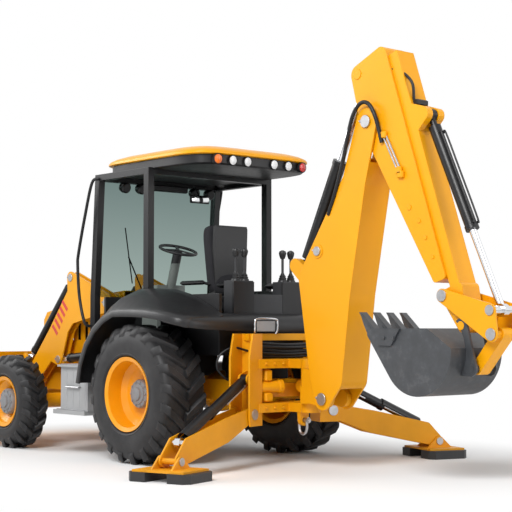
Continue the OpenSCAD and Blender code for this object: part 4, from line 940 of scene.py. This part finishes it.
slider_fit = Shape()
for u, w in ((40, 470), (110, 470)):
    x, z = dip(u, w)
    slider_fit.block((x - 30, -70, z - 24), (x + 20, 70, z + 24), 8)
route = []
for u, w, y in ((20, 465, 60), (-120, 500, 70), (-250, 430, 80), (-330, 330, 95)):
    x, z = dip(u, w)
    route.append((x, y, z))
slider_fit.tube(smooth_path(route, 6), 12, 10)
slider_fit.piece("slider_fittings", hose_rubber, "slider", "black_paint")

nose_pins = Shape()
for x, z, r in ((-2852, 1446, 46), (-3320, 1330, 40), (-3330, 1150, 46)):
    nose_pins.disc((x, 152, z), LEFT, r, 8)
nose_pins.mirrored().piece("lever_pins", steel, "bucket_lever", "chrome_rod")

# Bucket: teeth and bolted side cutters

TEETH, TOOTH_SPAN, CUTTER_Y = 4, 470, 309
# Stops of a tooth from its root to its tip: x, z, half width, thickness
TOOTH_STOPS = ((-2330, 1135, 40, 58), (-2235, 1118, 40, 62), (-2190, 1172, 37, 52), (-2140, 1238, 32, 36),
               (-2082, 1322, 22, 12))
CUTTER = ((-2560, 1190), (-2330, 1190), (-2290, 1150), (-2330, 1060), (-2470, 1060))
teeth = Shape()
for k in range(TEETH):
    y = -TOOTH_SPAN / 2 + TOOTH_SPAN * k / (TEETH - 1)
    rings = []
    for x, z, wide, thick in TOOTH_STOPS:
        dx, dz = -0.80 * thick / 2, 0.60 * thick / 2
        rings.append([(x + dx, y - wide, z + dz), (x + dx, y + wide, z + dz), (x - dx, y + wide, z - dz),
                      (x - dx, y - wide, z - dz)])
    teeth.rings(rings)
for hand in (1, -1):
    teeth.slab(CUTTER, hand * CUTTER_Y - 9, hand * CUTTER_Y + 9)
    for x in (-2500, -2400):
        teeth.bolt((x, hand * (CUTTER_Y + 9), 1120), (0, hand, 0), 17)
teeth.piece("bucket_teeth", bucket_steel, "bucket", "bucket_steel", smooth=False)

# Legs: pin heads, ram guards and pipes

LEG_SPLAY, LEG_LEN, LEG_DROP = math.radians(18), 1143, 310
HINGE_X, HINGE_Y, HINGE_Z = -915, 500, 460
# The ram: its top pin over the hinge and its eye along and above the leg
RAM_TOP_OUT, RAM_TOP_UP, RAM_EYE_ALONG, RAM_EYE_OVER = -20, 300, 990, 95
GUARD_IN, GUARD_OUT = 54, 59
LINE_OFF, LINE_TURN = 60, math.radians(25)
slope = math.asin(LEG_DROP / LEG_LEN)
guard_arc = [math.radians(d) for d in range(0, 181, 15)]
for mark, hand in (("left", 1), ("right", -1)):
    out = Vector((-math.sin(LEG_SPLAY), hand * math.cos(LEG_SPLAY), 0))
    across = Vector((math.cos(LEG_SPLAY), hand * math.sin(LEG_SPLAY), 0))
    hinge = Vector((HINGE_X, hand * HINGE_Y, HINGE_Z))
    foot = hinge + out * (LEG_LEN * math.cos(slope)) + Vector((0, 0, -LEG_DROP))
    pins = Shape()
    for face in (1, -1):
        pins.disc(foot + across * face * 104, across * face, 34, 10)
    pins.piece("foot_pins_" + mark, steel, "foot_" + mark, "chrome_rod")
    ram_top = hinge + out * RAM_TOP_OUT + Vector((0, 0, RAM_TOP_UP))
    ram_eye = hinge + out * (RAM_EYE_ALONG * math.cos(slope) + RAM_EYE_OVER * math.sin(slope))
    ram_eye += Vector((0, 0, -RAM_EYE_ALONG * math.sin(slope) + RAM_EYE_OVER * math.cos(slope)))
    run = (ram_top - ram_eye).normalized()
    up = across.cross(run) * hand
    up = up if up.z > 0 else -up
    guard_rows = []
    for far in (70, 90, 480, 500):
        spot = ram_eye + run * far
        ring = [spot + GUARD_OUT * (math.cos(a) * across + math.sin(a) * up) for a in guard_arc]
        ring += [spot + GUARD_IN * (math.cos(a) * across + math.sin(a) * up) for a in reversed(guard_arc)]
        guard_rows.append(ring)
    guard = Shape()
    guard.rings(guard_rows)
    guard.piece("ram_guard_" + mark, black_paint, "leg_rod_" + mark, "black_paint")
    lines = Shape()
    for flank in (1, -1):
        lift = LINE_OFF * (math.cos(LINE_TURN) * across * flank - math.sin(LINE_TURN) * up)
        lines.tube(smooth_path([ram_top - run * down_by + share * lift
                                for down_by, share in ((90, 0.7), (110, 0.9), (300, 0.9), (420, 0.9))]), 7, 8)
    lines.piece("leg_lines_" + mark, steel, "leg_barrel_" + mark, "black_paint")
    bosses = Shape()
    for face in (1, -1):
        bosses.disc(hinge + across * face * 106, across * face, 46, 10)
    bosses.piece("leg_pins_" + mark, steel, "chassis", "chrome_rod")

# Floor, light and camera

FLOOR_REACH = 40
ground = bpy.data.meshes.new("floor")
corners = [(-FLOOR_REACH, -FLOOR_REACH, 0), (FLOOR_REACH, -FLOOR_REACH, 0), (FLOOR_REACH, FLOOR_REACH, 0),
           (-FLOOR_REACH, FLOOR_REACH, 0)]
ground.from_pydata(corners, [], [(0, 1, 2, 3)])
floor = show("floor", ground)
ground.materials.append(floor_finish("floor_pale", darker=(0.90, 0.90, 0.90), lighter=(0.92, 0.92, 0.92)))


def area_light(name, place, target, size, power):
    """A round lamp at a place in metres, turned to its target."""
    lamp = bpy.data.lights.new(name, "AREA")
    lamp.shape = "DISK"
    lamp.size = size
    lamp.energy = power
    obj = show(name, lamp)
    obj.location = place
    obj.rotation_euler = (Vector(target) - Vector(place)).to_track_quat("-Z", "Y").to_euler()


def studio_world(name, level):
    """A white surround: seen as white directly, in shine and through glass, and lighting at a lower level."""
    world = bpy.data.worlds.new(name)
    world.use_nodes = True
    tree = world.node_tree
    backdrop = tree.nodes["Background"]
    backdrop.inputs["Color"].default_value = (1, 1, 1, 1)
    rays = tree.nodes.new("ShaderNodeLightPath")
    clear = tree.nodes.new("ShaderNodeMath")
    clear.operation = "MAXIMUM"
    link(tree, rays, "Is Transmission Ray", clear, 0)
    link(tree, rays, "Is Glossy Ray", clear, 1)
    seen = tree.nodes.new("ShaderNodeMath")
    seen.operation = "MAXIMUM"
    link(tree, rays, "Is Camera Ray", seen, 0)
    link(tree, clear, "Value", seen, 1)
    strength = tree.nodes.new("ShaderNodeMapRange")
    strength.inputs["To Min"].default_value = level
    strength.inputs["To Max"].default_value = 1.0
    link(tree, seen, "Value", strength, "Value")
    link(tree, strength, "Result", backdrop, "Strength")
    return world


middle = at((-300, 0, 1200))
area_light("key", (-5.5, 8.5, 8.5), middle, size=5.0, power=1080)
area_light("fill", (-10.0, -3.0, 4.5), middle, size=7.0, power=260)
area_light("front", (7.5, 5.0, 6.5), middle, size=6.0, power=420)
bpy.context.scene.world = studio_world("studio", level=0.34)

# The photo's camera, with its focal length in pixels; a lens 2% shorter takes in a little more
HEADING, PITCH = math.radians(40.84), math.radians(3.15)
FOCAL_PX, PHOTO_PX, SENSOR_MM, LENS_SHARE = 1365, 512, 36, 0.98
camera = bpy.data.cameras.new("camera")
camera.sensor_width = SENSOR_MM
camera.lens = LENS_SHARE * SENSOR_MM * FOCAL_PX / PHOTO_PX
view = show("camera", camera)
view.location = at((-9705, 7962, 1185))
look = Vector((math.cos(HEADING) * math.cos(PITCH), -math.sin(HEADING) * math.cos(PITCH), math.sin(PITCH)))
view.rotation_euler = look.to_track_quat("-Z", "Y").to_euler()
bpy.context.scene.camera = view
bpy.context.scene.view_settings.view_transform = "Standard"
